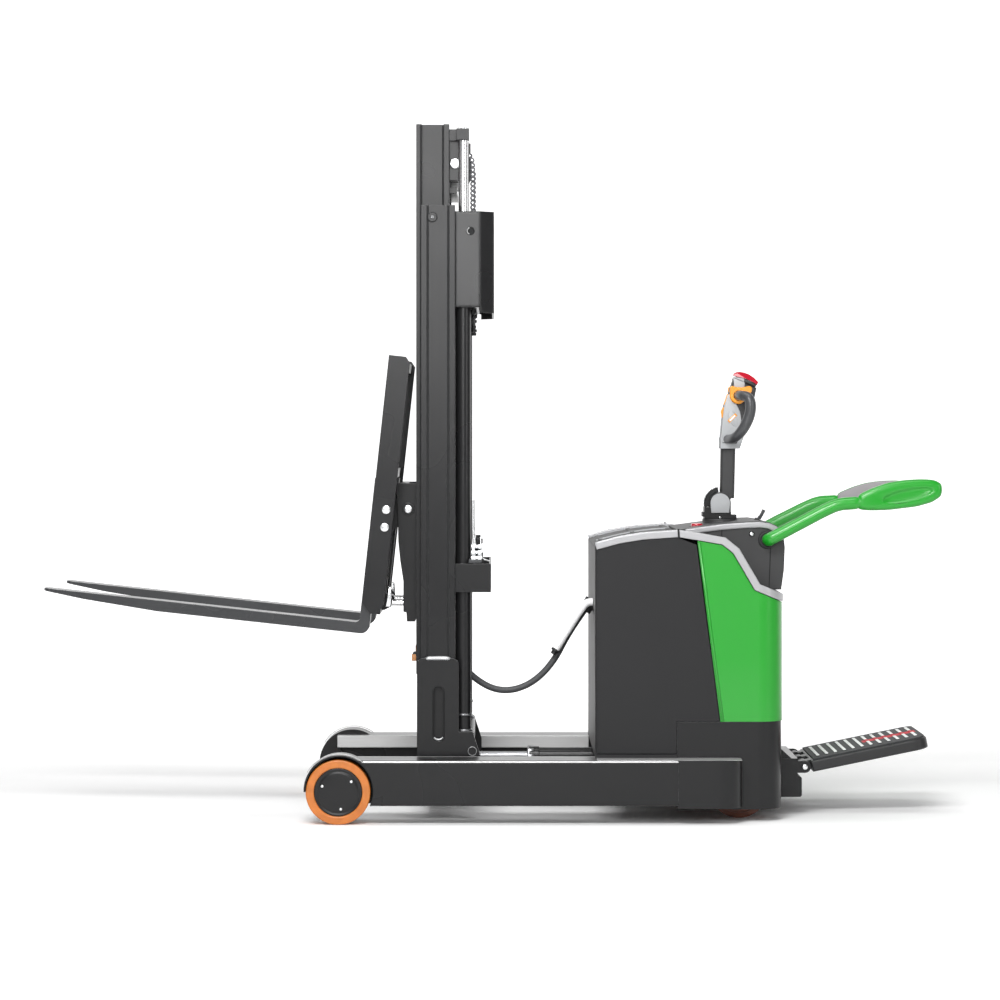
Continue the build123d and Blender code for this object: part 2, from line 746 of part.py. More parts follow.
with BuildPart() as deck:
    with BuildSketch(deck_level(deck_low)) as deck_plan:
        with Locations(((26 + platform_length) / 2, 0)):
            Rectangle(platform_length - 26, 2 * platform_half)
        fillet(deck_plan.vertices().group_by(Axis.X)[-1], 45)
    extrude(amount=platform_thick)
    fillet(deck.edges().filter_by(lambda edge: edge.center().X > platform_x + platform_length - 30), 6)
    with BuildSketch(deck_level(deck_low)) as deck_hollow:
        with Locations(((40 + platform_length - 8) / 2, 0)):
            Rectangle(platform_length - 8 - 40, 2 * platform_half - 16)
        fillet(deck_hollow.vertices().group_by(Axis.X)[-1], 37)
    extrude(amount=platform_thick - 8, mode=Mode.SUBTRACT)
    for y in (-150, 0, 150):
        with BuildSketch(slab(deck_plane, y - 30)):
            Circle(knuckle_r)
            with Locations((16, 0)):
                Rectangle(32, 28)
            Circle(platform_pin_r + run_gap, mode=Mode.SUBTRACT)
        extrude(amount=60)
write_piece(deck, "platform_deck")

# Platform mat: thin sheet with raised cross ribs
with BuildPart() as mat:
    mat_start = 34.0
    with BuildSketch(deck_level(deck_top)) as mat_plan:
        with Locations(((mat_start + platform_length - 6) / 2, 0)):
            Rectangle(platform_length - 6 - mat_start, 2 * platform_half - 12)
        fillet(mat_plan.vertices().group_by(Axis.X)[-1], 40)
    extrude(amount=mat_thick)
    pitch = (platform_length - 60 - mat_start) / mat_ribs
    with BuildSketch(deck_level(deck_top + mat_thick)):
        for rib in range(mat_ribs):
            with Locations((mat_start + 14 + pitch * rib, 0)):
                SlotOverall(2 * platform_half - 110, pitch * 0.4, rotation=90)
    extrude(amount=mat_rib)
write_piece(mat, "platform_mat")

# Drive unit: steering ring, gearbox beside the wheel, axle and upright motor
with BuildPart() as drive_unit:
    ring_top = housing_top - housing_wall - run_gap
    round_z(steer_x, 0, 118, (ring_top - 14, ring_top))
    round_z(steer_x, 0, 90, (ring_top - 14, 500))
    round_z(steer_x, 0, 78, (500, 530))
    gear_x = (steer_x - 60, steer_x + 60)
    block(gear_x, (gear_inner, gear_outer), (80, ring_top - 7))
    block(gear_x, (-30, gear_outer), (2 * drive_wheel_r + 8, ring_top - 7))
    round_y(steer_x, drive_wheel_r, 60, (gear_inner, gear_outer))
    round_y(steer_x, drive_wheel_r, drive_axle_r, (-drive_wheel_width / 2, gear_inner + 12))
    round_z(steer_x, 0, steer_shaft_r, (520, tiller_base_low - 10))
write_piece(drive_unit, "drive_unit")

with BuildPart() as drive_wheel:
    half = drive_wheel_width / 2
    round_y(steer_x, drive_wheel_r, drive_wheel_r, (-half, half))
    round_y(steer_x, drive_wheel_r, drive_wheel_r - 30, (-half, -half + 14), Mode.SUBTRACT)
    round_y(steer_x, drive_wheel_r, drive_axle_r + run_gap, (-half, half), Mode.SUBTRACT)
write_piece(drive_wheel, "drive_wheel")

# Castors: fork with stem, and wheel
axle_x = castor_x + castor_trail
with BuildPart() as castor_fork_left:
    round_z(castor_x, -castor_y, 32, (castor_crown, post_low - run_gap))
    round_z(castor_x, -castor_y, castor_stem_r, (castor_crown, post_low + 40))
    cheek_half = castor_width / 2 + 4 + castor_plate
    for y_inner in (castor_y + cheek_half - castor_plate, castor_y - cheek_half):
        with BuildSketch(slab(Plane.XZ, y_inner)):
            with BuildLine():
                Polyline(
                    (castor_x - 26, castor_crown), (axle_x + 18, castor_crown), (axle_x + 20, castor_r),
                    (axle_x - 20, castor_r - 4), close=True,
                )
            make_face()
            with Locations((axle_x, castor_r)):
                Circle(20)
        extrude(amount=castor_plate)
    cheeks_y = (-castor_y - cheek_half, -castor_y + cheek_half)
    block((castor_x - 30, axle_x + 18), cheeks_y, (castor_crown - 12, castor_crown))
    round_y(axle_x, castor_r, castor_axle_r, cheeks_y)
write_piece(castor_fork_left, "castor_fork_left")

with BuildPart() as castor_fork_right:
    mirror(castor_fork_left.part, about=Plane.XZ)
write_piece(castor_fork_right, "castor_fork_right")

with BuildPart() as castor_wheel_left:
    half = castor_width / 2
    round_y(axle_x, castor_r, castor_r, (-castor_y - half, -castor_y + half))
    round_y(axle_x, castor_r, castor_r - 16, (-castor_y - half, -castor_y - half + 8), Mode.SUBTRACT)
    round_y(axle_x, castor_r, castor_axle_r + run_gap, (-castor_y - half, -castor_y + half), Mode.SUBTRACT)
write_piece(castor_wheel_left, "castor_wheel_left")

with BuildPart() as castor_wheel_right:
    mirror(castor_wheel_left.part, about=Plane.XZ)
write_piece(castor_wheel_right, "castor_wheel_right")

# Tiller base: turntable block with two cheeks, a rounded shroud and the hinge pin
shroud_r = 54.0
with BuildPart() as tiller_base:
    with BuildSketch(Plane.XZ):
        with BuildLine():
            Polyline(
                (713, tiller_base_low), (822, tiller_base_low), (822, 991), (732, 991),
                (732, 1016), (713, 1016), close=True,
            )
        make_face()
        with BuildLine():
            over = CenterArc((tiller_x, tiller_z), shroud_r, 98, 98)
            under = CenterArc((tiller_x, tiller_z), tiller_drum_r + step_gap, 98, 98)
            Line(over @ 0, under @ 0)
            Line(over @ 1, under @ 1)
        make_face()
    extrude(amount=tiller_base_half, both=True)
    for y_inner in (tiller_base_half - tiller_cheek, -tiller_base_half):
        with BuildSketch(slab(Plane.XZ, y_inner)):
            with Locations((tiller_x, tiller_z)):
                Circle(tiller_drum_r)
            with Locations((tiller_x, (tiller_z + 985) / 2)):
                Rectangle(2 * tiller_drum_r, tiller_z - 985)
            with Locations((tiller_x - 11, 992)):
                Rectangle(96, 16)
        extrude(amount=tiller_cheek)
    round_y(tiller_x, tiller_z, tiller_pin_r, (-tiller_base_half - 3, tiller_base_half + 3))
    round_z(steer_x, 0, steer_shaft_r, (tiller_base_low - 10 + run_gap, tiller_base_low))
write_piece(tiller_base, "tiller_base")

# Tiller arm: hinge drum and neck
drum_half = tiller_base_half - tiller_cheek - slide_gap
with BuildPart() as tiller_arm:
    with BuildSketch(Plane.XZ):
        with BuildLine():
            Polyline((768, 1046), (816, 1046), (820, head_low), (771, head_low), close=True)
        make_face()
    extrude(amount=drum_half - 1, both=True)
    fillet(tiller_arm.edges().filter_by(lambda edge: edge.length > 120), 10)
    with BuildSketch(Plane.XZ):
        with BuildLine():
            Polyline((tiller_x, tiller_z - 10), (795, tiller_z), (815, 1062), (772, 1062), close=True)
        make_face()
    extrude(amount=drum_half - 1, both=True)
    round_y(tiller_x, tiller_z, tiller_drum_r, (-drum_half, drum_half))
    round_y(tiller_x, tiller_z, tiller_pin_r + run_gap, (-drum_half, drum_half), Mode.SUBTRACT)
write_piece(tiller_arm, "tiller_arm")

# Tiller head: leaning pod with a flat crown
head_crown = (head_outline[5], head_outline[4])
with BuildPart() as head:
    with BuildSketch(Plane.XZ) as head_side:
        with BuildLine():
            Polyline(*head_outline, close=True)
        make_face()
        fillet(head_side.vertices().sort_by(Axis.Y)[2:5], 18)
    extrude(amount=head_half, both=True)
    side_edges = head.edges().filter_by(lambda edge: abs(edge.center().Y) > head_half - 1)
    fillet(side_edges, 9)
    crown_mid = ((head_crown[0][0] + head_crown[1][0]) / 2, (head_crown[0][1] + head_crown[1][1]) / 2)
    crown_x = head_crown[1][0] - head_crown[0][0]
    crown_z = head_crown[1][1] - head_crown[0][1]
    crown_run = math.hypot(crown_x, crown_z)
    crown_out = Vector(-crown_z / crown_run, 0, crown_x / crown_run)
    crown_along = Vector(crown_x / crown_run, 0, crown_z / crown_run)
    crown_plane = Plane(origin=(crown_mid[0], 0, crown_mid[1]), x_dir=crown_along, z_dir=crown_out)
    with BuildSketch(crown_plane):
        with Locations((0, -belly_stem_y), (0, belly_stem_y)):
            Circle(belly_stem_r + run_gap)
    extrude(amount=-22, mode=Mode.SUBTRACT)
    rocker_y = (-rocker_half - slide_gap, rocker_half + slide_gap)
    rocker_well = (rocker_axis[1] - 21, rocker_axis[1] + 21)
    block((rocker_axis[0] - 14, rocker_axis[0] + 14), rocker_y, rocker_well, Mode.SUBTRACT)
    pin_bore = (rocker_y[0] - 5, rocker_y[1] + 5)
    round_y(*rocker_axis, rocker_pin_r + run_gap, pin_bore, Mode.SUBTRACT)
write_piece(head, "tiller_head")

# Tiller grips: one loop on each side of the head
grip_path = [
    (throttle_x, -head_half + 4, throttle_z), (throttle_x, -105, throttle_z), (872, -140, 1370),
    (862, -140, 1320), (832, -118, 1268), (800, -head_half + 4, 1246),
]
with BuildPart() as grips:
    with BuildLine() as loop:
        FilletPolyline(*grip_path, radius=[26, 30, 34, 30])
    with BuildSketch(Plane(origin=loop.line @ 0, z_dir=loop.line % 0)):
        Circle(grip_r)
    sweep()
    head_x = (head_outline[0][0], head_outline[4][0])
    block(head_x, (-head_half, 0), (head_low, head_outline[5][1]), Mode.SUBTRACT)
    mirror(about=Plane.XZ)
write_piece(grips, "tiller_grips")

# Throttle: a two-winged ring round the root of each grip
knob_in = head_half + 2
knob_out = head_half + 20
with BuildPart() as throttle:
    with BuildSketch(slab(Plane.XZ, knob_in)):
        with Locations((throttle_x, throttle_z)):
            Circle(throttle_r)
        with Locations(Location((throttle_x - 2, throttle_z + 8), 28)):
            Ellipse(36, 13)
        with Locations((throttle_x, throttle_z)):
            Circle(grip_r + slide_gap, mode=Mode.SUBTRACT)
    extrude(amount=knob_out - knob_in)
    mirror(about=Plane.XZ)
write_piece(throttle, "throttle")

# Belly button: red cap on two stems
with BuildPart() as belly:
    with BuildSketch(crown_plane.offset(belly_travel + 1)) as cap:
        RectangleRounded(crown_run + 8, 2 * head_half + 6, 14)
    extrude(amount=14)
    fillet(belly.edges().group_by(Axis(crown_plane.origin, crown_out))[-1], 6)
    with BuildSketch(crown_plane.offset(belly_travel + 2)):
        with Locations((0, -belly_stem_y), (0, belly_stem_y)):
            Circle(belly_stem_r)
    extrude(amount=-20)
write_piece(belly, "belly_button")

# Lift rocker on the front of the head
with BuildPart() as rocker:
    with BuildSketch(Plane.XZ):
        with BuildLine():
            Polyline(*rocker_outline, close=True)
        make_face()
    extrude(amount=rocker_half, both=True)
    round_y(*rocker_axis, rocker_pin_r, (-rocker_half - 4, rocker_half + 4))
write_piece(rocker, "lift_rocker")

# Emergency stop button and key
with BuildPart() as stop:
    cap_low = stop_seat + stop_travel + 1
    round_z(stop_x, stop_y, stop_r, (cap_low, cap_low + 14))
    fillet(stop.edges().group_by(Axis.Z)[-1], 6)
    round_z(stop_x, stop_y, stop_stem_r, (stop_seat - 21, cap_low + 1))
write_piece(stop, "estop_button")

with BuildPart() as key:
    with Locations(key_plane.offset(10).location):
        Cylinder(key_stem_r, 24)
    with Locations(key_plane.offset(32).location):
        Box(6, 26, 24)
write_piece(key, "key")

# Side arms: bent tube, paddle with a stadium recess, and the pad as an own solid
with BuildPart() as arm_left:
    with BuildLine() as arm_line:
        FilletPolyline(*elbow, radius=[arm_bend_r, 90])
    with BuildSketch(Plane(origin=elbow[0], z_dir=(0, -1, 0))):
        Circle(arm_tube_r)
    sweep()
    with BuildSketch(slab(Plane.XZ, arm_y - paddle_thick / 2)) as paddle_side:
        with BuildLine():
            Polyline(*paddle, close=True)
        make_face()
        fillet(paddle_side.vertices(), 9)
    extrude(amount=paddle_thick)
    with BuildSketch(slab(Plane.XZ, arm_y + paddle_thick / 2)):
        with Locations(Location(recess_at, paddle_lean)):
            SlotOverall(160, 44)
    extrude(amount=-8, mode=Mode.SUBTRACT)
    with BuildSketch(slab(Plane.XZ, arm_y - paddle_thick / 2 - pad_thick - run_gap)):
        with Locations(Location(pad_at, paddle_lean)):
            SlotOverall(210, 66)
    extrude(amount=pad_thick)
write_piece(arm_left, "arm_left")

with BuildPart() as arm_right:
    mirror(arm_left.part, about=Plane.XZ)
write_piece(arm_right, "arm_right")

# Outer mast channels with the top roller axles
top_roller_x = (inner_front + inner_rear) / 2
web_in_y = inner_lip + (inner_face - inner_lip) / 2 - inner_web / 2
web_out_y = web_in_y + inner_web
with BuildPart() as outer_channels:
    length = (outer_low, outer_top)
    groove = (outer_front + outer_flange, outer_rear - outer_flange)
    block((outer_front, outer_rear), (-outer_face, -outer_lip), length)
    block(groove, (-outer_face + outer_web, -outer_lip), length, Mode.SUBTRACT)
    for x in (outer_front + 22, outer_rear - 22):
        block((x - 3, x + 3), (-outer_face, -outer_face + 2), length, Mode.SUBTRACT)
    round_y(top_roller_x, top_roller_z, roller_axle_r, (-outer_face - 4, -web_out_y - 5))
    mirror(about=Plane.XZ)
write_piece(outer_channels, "outer_channels")

# Inner mast channels with the bottom roller axles
bottom_roller_x = (outer_front + outer_rear) / 2
with BuildPart() as inner_channels:
    block((inner_front, inner_rear), (-inner_face, -inner_lip), (inner_low, inner_top))
    grooves = (inner_front + inner_flange, inner_rear - inner_flange)
    block(grooves, (-inner_face, -web_out_y), (inner_low, inner_top), Mode.SUBTRACT)
    block(grooves, (-web_in_y, -inner_lip), (inner_low, inner_top), Mode.SUBTRACT)
    round_y(bottom_roller_x, bottom_roller_z, roller_axle_r, (-outer_face + outer_web + 5, -web_out_y))
    mirror(about=Plane.XZ)
write_piece(inner_channels, "inner_channels")

# Mast rollers
def roller_pair(x, z, r, y_inner, y_outer):
    round_y(x, z, r, (-y_outer, -y_inner))
    round_y(x, z, roller_axle_r + run_gap, (-y_outer, -y_inner), Mode.SUBTRACT)
    mirror(about=Plane.XZ)


with BuildPart() as top_rollers:
    groove_r = (inner_rear - inner_front) / 2 - inner_flange - slide_gap
    roller_pair(top_roller_x, top_roller_z, groove_r, web_out_y + 3, inner_face)
write_piece(top_rollers, "outer_mast_rollers")

with BuildPart() as bottom_rollers:
    channel_r = (outer_rear - outer_front) / 2 - outer_flange - slide_gap
    roller_pair(bottom_roller_x, bottom_roller_z, channel_r, outer_lip + 2, outer_face - outer_web - 3)
write_piece(bottom_rollers, "inner_mast_rollers")

for roller_name, roller_z in zip(("carriage_rollers_upper", "carriage_rollers_lower"), carriage_roller_z):
    with BuildPart() as carriage_roller:
        roller_pair(top_roller_x, roller_z, groove_r, inner_lip, web_in_y - 3)
    write_piece(carriage_roller, roller_name)

foot_roller_z = (rail_floor + rail_low) / 2
foot_roller_r = (rail_low - rail_floor) / 2 - slide_gap
foot_roller_in = leg_inner + 4
foot_roller_out = foot_roller_in + foot_roller_width
for roller_name, roller_x in zip(("foot_rollers_front", "foot_rollers_rear"), foot_roller_x):
    with BuildPart() as foot_roller:
        roller_pair(roller_x, foot_roller_z, foot_roller_r, foot_roller_in, foot_roller_out)
    write_piece(foot_roller, roller_name)

# Mast base: feet, cross beams, roller axles, reach lug and hose bracket
foot_outer = outer_face + foot_plate
with BuildPart() as mast_base:
    with BuildSketch(slab(Plane.XZ, outer_face)) as foot:
        with BuildLine():
            Polyline(
                (-262, 85), (-40, 85), (-40, 205), (-66, 285), (-111, 285), (-111, 526), (-249, 526),
                (-249, 200), (-262, 190), close=True,
            )
        make_face()
        fillet(foot.vertices().group_by(Axis.Y)[-1], 22)
        with Locations((-177.5, 342)):
            SlotOverall(178, 37, rotation=90, mode=Mode.SUBTRACT)
    extrude(amount=foot_plate)
    for x in foot_roller_x:
        round_y(x, foot_roller_z, roller_axle_r, (-foot_roller_out + 4, -outer_face))
    mirror(about=Plane.XZ)
    block(beam_x, (-outer_face, outer_face), (beam_low, beam_top))
    block(rear_beam_x, (-outer_face, outer_face), (rear_beam_low, rear_beam_top))
    block(beam_x, (-26, 26), (beam_low, reach_z + 25))
    hose_end = (hose_points[-1][0], hose_y, hose_points[-1][1])
    tab_x = (rear_beam_x[0], rear_beam_x[0] + 10)
    block(tab_x, (hose_y - 30, hose_y + 30), (rear_beam_top - 10, hose_end[2] + 40))
    last_x = hose_points[-1][0] - hose_points[-2][0]
    last_z = hose_points[-1][1] - hose_points[-2][1]
    last_run = math.hypot(last_x, last_z)
    end_dir = Vector(last_x / last_run, 0, last_z / last_run)
    with Locations(Plane(origin=Vector(hose_end) + end_dir * 14, z_dir=end_dir).location):
        Cylinder(17, 28)
    behind_x = (rear_beam_x[0] - 18, rear_beam_x[0])
    block(behind_x, (hose_y - 40, hose_y + 40), (hose_end[2] - 30, hose_end[2] + 90), Mode.SUBTRACT)
write_piece(mast_base, "mast_base")

# Upper tie: bent cover behind the outer mast with the chain anchor beam
tie_outer = outer_face - outer_web
with BuildPart() as upper_tie:
    tie_flat = tie_outer - 34
    tie_plan = [
        (outer_rear, -tie_outer - tie_plate), (tie_bend, -tie_outer - tie_plate), (tie_rear, -tie_flat),
        (tie_rear, tie_flat), (tie_bend, tie_outer + tie_plate), (outer_rear, tie_outer + tie_plate),
    ]
    with BuildSketch(Plane.XY.offset(tie_low)):
        with BuildLine():
            Polyline(*band(tie_plan, 0, tie_plate), close=True)
        make_face()
    extrude(amount=tie_top - tie_low)
    flanges = (-tie_outer - tie_plate, tie_outer + tie_plate)
    block((outer_rear - 6, tie_bend), flanges, (tie_low - 1, anchor_beam_top), Mode.SUBTRACT)
    anchor_x = pulley_x + chain_r
    beam_front = lift_x + lift_barrel_r + 1
    block((beam_front, anchor_x + 21), (-tie_outer, tie_outer), (anchor_beam_top, anchor_beam_top + 40))
    for side in (-1, 1):
        round_z(anchor_x, side * pulley_y, 7, (anchor_beam_top - anchor_length, anchor_beam_top))
        round_z(anchor_x, side * pulley_y, 13, (anchor_beam_top - 18, anchor_beam_top))
write_piece(upper_tie, "upper_tie")

# Lift cylinders
with BuildPart() as lift_barrels:
    round_z(lift_x, -lift_y, lift_barrel_r, (rear_beam_top, lift_barrel_top))
    gland_top = lift_barrel_top + lift_gland
    round_z(lift_x, -lift_y, gland_r, (lift_barrel_top, gland_top))
    round_z(lift_x, -lift_y, lift_bore_r, (rear_beam_top + 20, lift_barrel_top), Mode.SUBTRACT)
    round_z(lift_x, -lift_y, lift_rod_r + run_gap, (lift_barrel_top - 1, gland_top), Mode.SUBTRACT)
    collar_top = collar_low + collar_height
    round_z(lift_x, -lift_y, gland_r, (collar_low, collar_top))
    round_z(lift_x, -lift_y, lift_bore_r, (collar_low - 1, collar_top + 1), Mode.SUBTRACT)
    mirror(about=Plane.XZ)
write_piece(lift_barrels, "lift_barrels")

with BuildPart() as lift_rods:
    round_z(lift_x, -lift_y, lift_rod_r, (lift_rod_low, lift_rod_top))
    round_z(lift_x, -lift_y, lift_bore_r - run_gap, (lift_rod_low, lift_rod_low + 30))
    mirror(about=Plane.XZ)
write_piece(lift_rods, "lift_rods")

# Crosshead: plate with pulley slots, pulley axle, rod clamps; and the lower inner beam
with BuildPart() as crosshead:
    plate_x = (inner_rear, crosshead_rear)
    block(plate_x, (-inner_face + 2, inner_face - 2), (crosshead_low, crosshead_top))
    for side in (-1, 1):
        slot = sorted((side * (pulley_y - pulley_width / 2 - 4), side * (pulley_y + pulley_width / 2 + 4)))
        block(plate_x, slot, (crosshead_low, pulley_z + pulley_flange_r + 10), Mode.SUBTRACT)
        beside = sorted((side * (lift_y - gland_r - panel_gap), side * inner_face))
        block(plate_x, beside, (crosshead_low, lift_rod_top), Mode.SUBTRACT)
        clamp_in = sorted((side * (lift_y - 30), side * (lift_y + 22)))
        block((lift_x - 23, lift_x + 19), clamp_in, (lift_rod_top, crosshead_top))
    between = (-inner_lip, inner_lip)
    block((inner_rear - 6, inner_rear + 24), between, (crosshead_low - 40, crosshead_low - 20))
    round_y(pulley_x, pulley_z, pulley_axle_r, between)
    axle_end = lift_y - gland_r - panel_gap + 1
    round_y(pulley_x, pulley_z, axle_end_r, (-axle_end, axle_end))
    block((inner_rear - 6, inner_rear + 14), between, (inner_low + 10, inner_low + 90))
write_piece(crosshead, "crosshead")

# Chain pulleys
with BuildPart() as pulleys:
    y_in = pulley_y - pulley_width / 2
    y_out = pulley_y + pulley_width / 2
    round_y(pulley_x, pulley_z, pulley_flange_r, (-y_out, -y_in))
    with BuildSketch(slab(Plane.XZ, y_in + 3)):
        with Locations((pulley_x, pulley_z)):
            Circle(pulley_flange_r + 1)
            Circle(pulley_groove_r, mode=Mode.SUBTRACT)
    extrude(amount=pulley_width - 6, mode=Mode.SUBTRACT)
    round_y(pulley_x, pulley_z, pulley_axle_r + run_gap, (-y_out, -y_in), Mode.SUBTRACT)
    mirror(about=Plane.XZ)
write_piece(pulleys, "chain_pulleys")

# Lift chains: waisted strands from the anchor over the pulley to the carriage
def waisted(length, half):
    steps = math.ceil(length / chain_pitch)
    pitch = length / steps
    return [(index * pitch / 2, half - chain_waist * (index % 2)) for index in range(2 * steps + 1)]


with BuildPart() as chains:
    half = chain_depth / 2
    for x, low in ((pulley_x + chain_r, anchor_beam_top + 40), (pulley_x - chain_r, chain_low)):
        side_line = waisted(pulley_z - low, half)
        with BuildSketch(slab(Plane.XZ, pulley_y - chain_width / 2)):
            with BuildLine():
                right = [(x + d, low + z) for z, d in side_line]
                left = [(x - d, low + z) for z, d in reversed(side_line)]
                Polyline(*right, *left, close=True)
            make_face()
        extrude(amount=chain_width)
    with BuildSketch(slab(Plane.XZ, pulley_y - chain_width / 2)):
        with BuildLine():
            around = waisted(math.pi * chain_r, half)
            over = []
            under = []
            for arc, depth in around:
                turn_x = math.cos(arc / chain_r)
                turn_z = math.sin(arc / chain_r)
                over.append((pulley_x + (chain_r + depth) * turn_x, pulley_z + (chain_r + depth) * turn_z))
                under.append((pulley_x + (chain_r - depth) * turn_x, pulley_z + (chain_r - depth) * turn_z))
            Polyline(*over, *reversed(under), close=True)
        make_face()
    extrude(amount=chain_width)
    mirror(about=Plane.XZ)
write_piece(chains, "lift_chains")

# Valve bracket behind the outer mast with the hydraulic fittings
with BuildPart() as valve:
    with BuildSketch(Plane.XY.offset(valve_low)):
        with BuildLine():
            valve_y = tie_outer + tie_plate
            valve_plan = [
                (outer_rear, -valve_y), (valve_rear, -valve_y),
                (valve_rear, valve_y), (outer_rear, valve_y),
            ]
            Polyline(*band(valve_plan, 0, tie_plate), close=True)
        make_face()
    extrude(amount=valve_top - valve_low)
    block((-78, valve_rear - 1), (-tie_outer - 1, -lift_y + 34), (valve_top - 60, valve_top - 4))
    round_z(lift_x, -lift_y, lift_barrel_r + 1, (valve_low, valve_top), Mode.SUBTRACT)
    for r, low, high in ((16, -6, 36), (12, 36, 66), (15, 66, 82), (8, 82, 94)):
        round_z(lift_x + 49, -lift_y, r, (valve_top + low, valve_top + high))
write_piece(valve, "valve_bracket")

# Reach rod with piston
with BuildPart() as reach_rod:
    round_x(0, reach_z, reach_rod_r, (beam_x[1], reach_piston[1]))
    round_x(0, reach_z, reach_bore_r - run_gap, reach_piston)
write_piece(reach_rod, "reach_rod")

# Lift carriage: side plates with roller axles, cross beams, chain lugs, tilt mounts, and the pivot pin
with BuildPart() as carriage:
    with BuildSketch(slab(Plane.XZ, carriage_inner)):
        with BuildLine():
            Polyline(*carriage_outline, close=True)
        make_face()
        with Locations((pivot_x, pivot_z)):
            Circle(pivot_r + run_gap, mode=Mode.SUBTRACT)
    extrude(amount=carriage_outer - carriage_inner)
    for z in carriage_roller_z:
        round_y(top_roller_x, z, roller_axle_r, (-web_in_y + 5, -carriage_outer))
    block((tilt_rear, carriage_rear), (-carriage_inner, -tilt_y + 30), (tilt_z - 20, tilt_z + 30))
    front_strand = pulley_x - chain_r
    lug_x = (front_strand - 14, front_strand + 14)
    block(lug_x, (-carriage_inner, -pulley_y + 14), (chain_low - 40, chain_low))
    mirror(about=Plane.XZ)
    block((-316, -286), (-carriage_inner, carriage_inner), (1064, 1098))
    block((tilt_front - 6, tilt_front + 18), (-carriage_inner, carriage_inner), (tilt_z + 35, tilt_z + 75))
    round_y(pivot_x, pivot_z, pivot_r, (-carriage_outer - 5, carriage_outer + 5))
write_piece(carriage, "lift_carriage")

# Tilt cylinders between the carriage and the fork frame
with BuildPart() as tilt_barrels:
    round_x(-tilt_y, tilt_z, tilt_barrel_r, (tilt_front, tilt_rear))
    round_x(-tilt_y, tilt_z, tilt_rod_r + run_gap, (tilt_front, tilt_rear - 8), Mode.SUBTRACT)
    mirror(about=Plane.XZ)
write_piece(tilt_barrels, "tilt_barrels")

with BuildPart() as tilt_rods:
    round_x(-tilt_y, tilt_z, tilt_rod_r, (tilt_eye_x + tilt_eye_hole_r + 0.5, -240))
    eye_y = (-tilt_y - tilt_eye_half, -tilt_y + tilt_eye_half)
    round_y(tilt_eye_x, tilt_z, tilt_eye_r, eye_y)
    round_y(tilt_eye_x, tilt_z, tilt_eye_hole_r, eye_y, Mode.SUBTRACT)
    mirror(about=Plane.XZ)
write_piece(tilt_rods, "tilt_rods")

# Fork frame: two bars, lug plates down to the pivot and the tilt pins, leaning back as it stands
lean = math.radians(tilt_back)
lean_dir = Vector(math.cos(lean), 0, -math.sin(lean))
fork_plane = Plane(origin=(pivot_x, 0, pivot_z), x_dir=lean_dir, z_dir=(0, -1, 0))
eye = fork_plane.to_local_coords(Vector(tilt_eye_x, 0, tilt_z + tilt_pin_lift))
with BuildPart() as fork_frame:
    with BuildSketch(fork_plane):
        with BuildLine():
            Polyline(
                (bar_front, upper_bar[0]), (bar_rear, upper_bar[0]), (bar_rear, upper_bar[1]),
                (hook_x, upper_bar[1]), (hook_x, upper_bar[1] + hook_rise),
                (bar_front, upper_bar[1] + hook_rise), close=True,
            )
        make_face()
        with Locations(((bar_front + bar_rear) / 2, sum(lower_bar) / 2)):
            Rectangle(bar_rear - bar_front, lower_bar[1] - lower_bar[0])
    extrude(amount=bar_half, both=True)
    pin_inner = tilt_y - 14
    pin_length = lug_inner + 1 - pin_inner
    for lug_y, pin_y in ((lug_inner, pin_inner), (-lug_outer, -pin_inner - pin_length)):
        with BuildSketch(slab(fork_plane, lug_y)):
            with BuildLine():
                Polyline(
                    (lug_front, 40), (-10, 34), (30, 14), (30, -14), (6, -40), (lug_rear, upper_bar[0]),
                    (lug_rear, eye.Y + 30), (eye.X + 13, eye.Y + 14), (eye.X + 13, eye.Y - 14),
                    (lug_rear, eye.Y - 28), (lug_front, eye.Y - 28), close=True,
                )
            make_face()
            Circle(pivot_r + 14)
            Circle(pivot_r + run_gap, mode=Mode.SUBTRACT)
        extrude(amount=lug_outer - lug_inner)
        with BuildSketch(slab(fork_plane, pin_y)):
            with Locations((eye.X, eye.Y)):
                Circle(tilt_pin_r)
        extrude(amount=pin_length)
write_piece(fork_frame, "fork_frame")

# Load backrest: bent side plates bolted to the bar ends, top bar and uprights
with BuildPart() as backrest:
    for y in (rest_inner, -rest_outer):
        with BuildSketch(slab(fork_plane, y)):
            with BuildLine():
                Polyline(
                    (rest_front, rest_top), (rest_rear - 15, rest_top), (rest_rear, rest_top - 18),
                    (rest_rear, lower_bar[0] + 34), (rest_rear - 19, lower_bar[0]),
                    (rest_front + 30, lower_bar[0]), (rest_front, lower_bar[0] + 34), close=True,
                )
            make_face()
        extrude(amount=rest_outer - rest_inner)
    with BuildSketch(fork_plane):
        for z in rest_bar_z:
            with Locations((rest_bar_x, z)):
                Rectangle(26, 30)
    extrude(amount=rest_inner + 2, both=True)
    for y in (-180, 0, 180):
        with BuildSketch(slab(fork_plane, y - 14)):
            with Locations((rest_bar_x, sum(rest_bar_z) / 2)):
                Rectangle(14, rest_bar_z[1] - rest_bar_z[0])
        extrude(amount=28)
write_piece(backrest, "load_backrest")

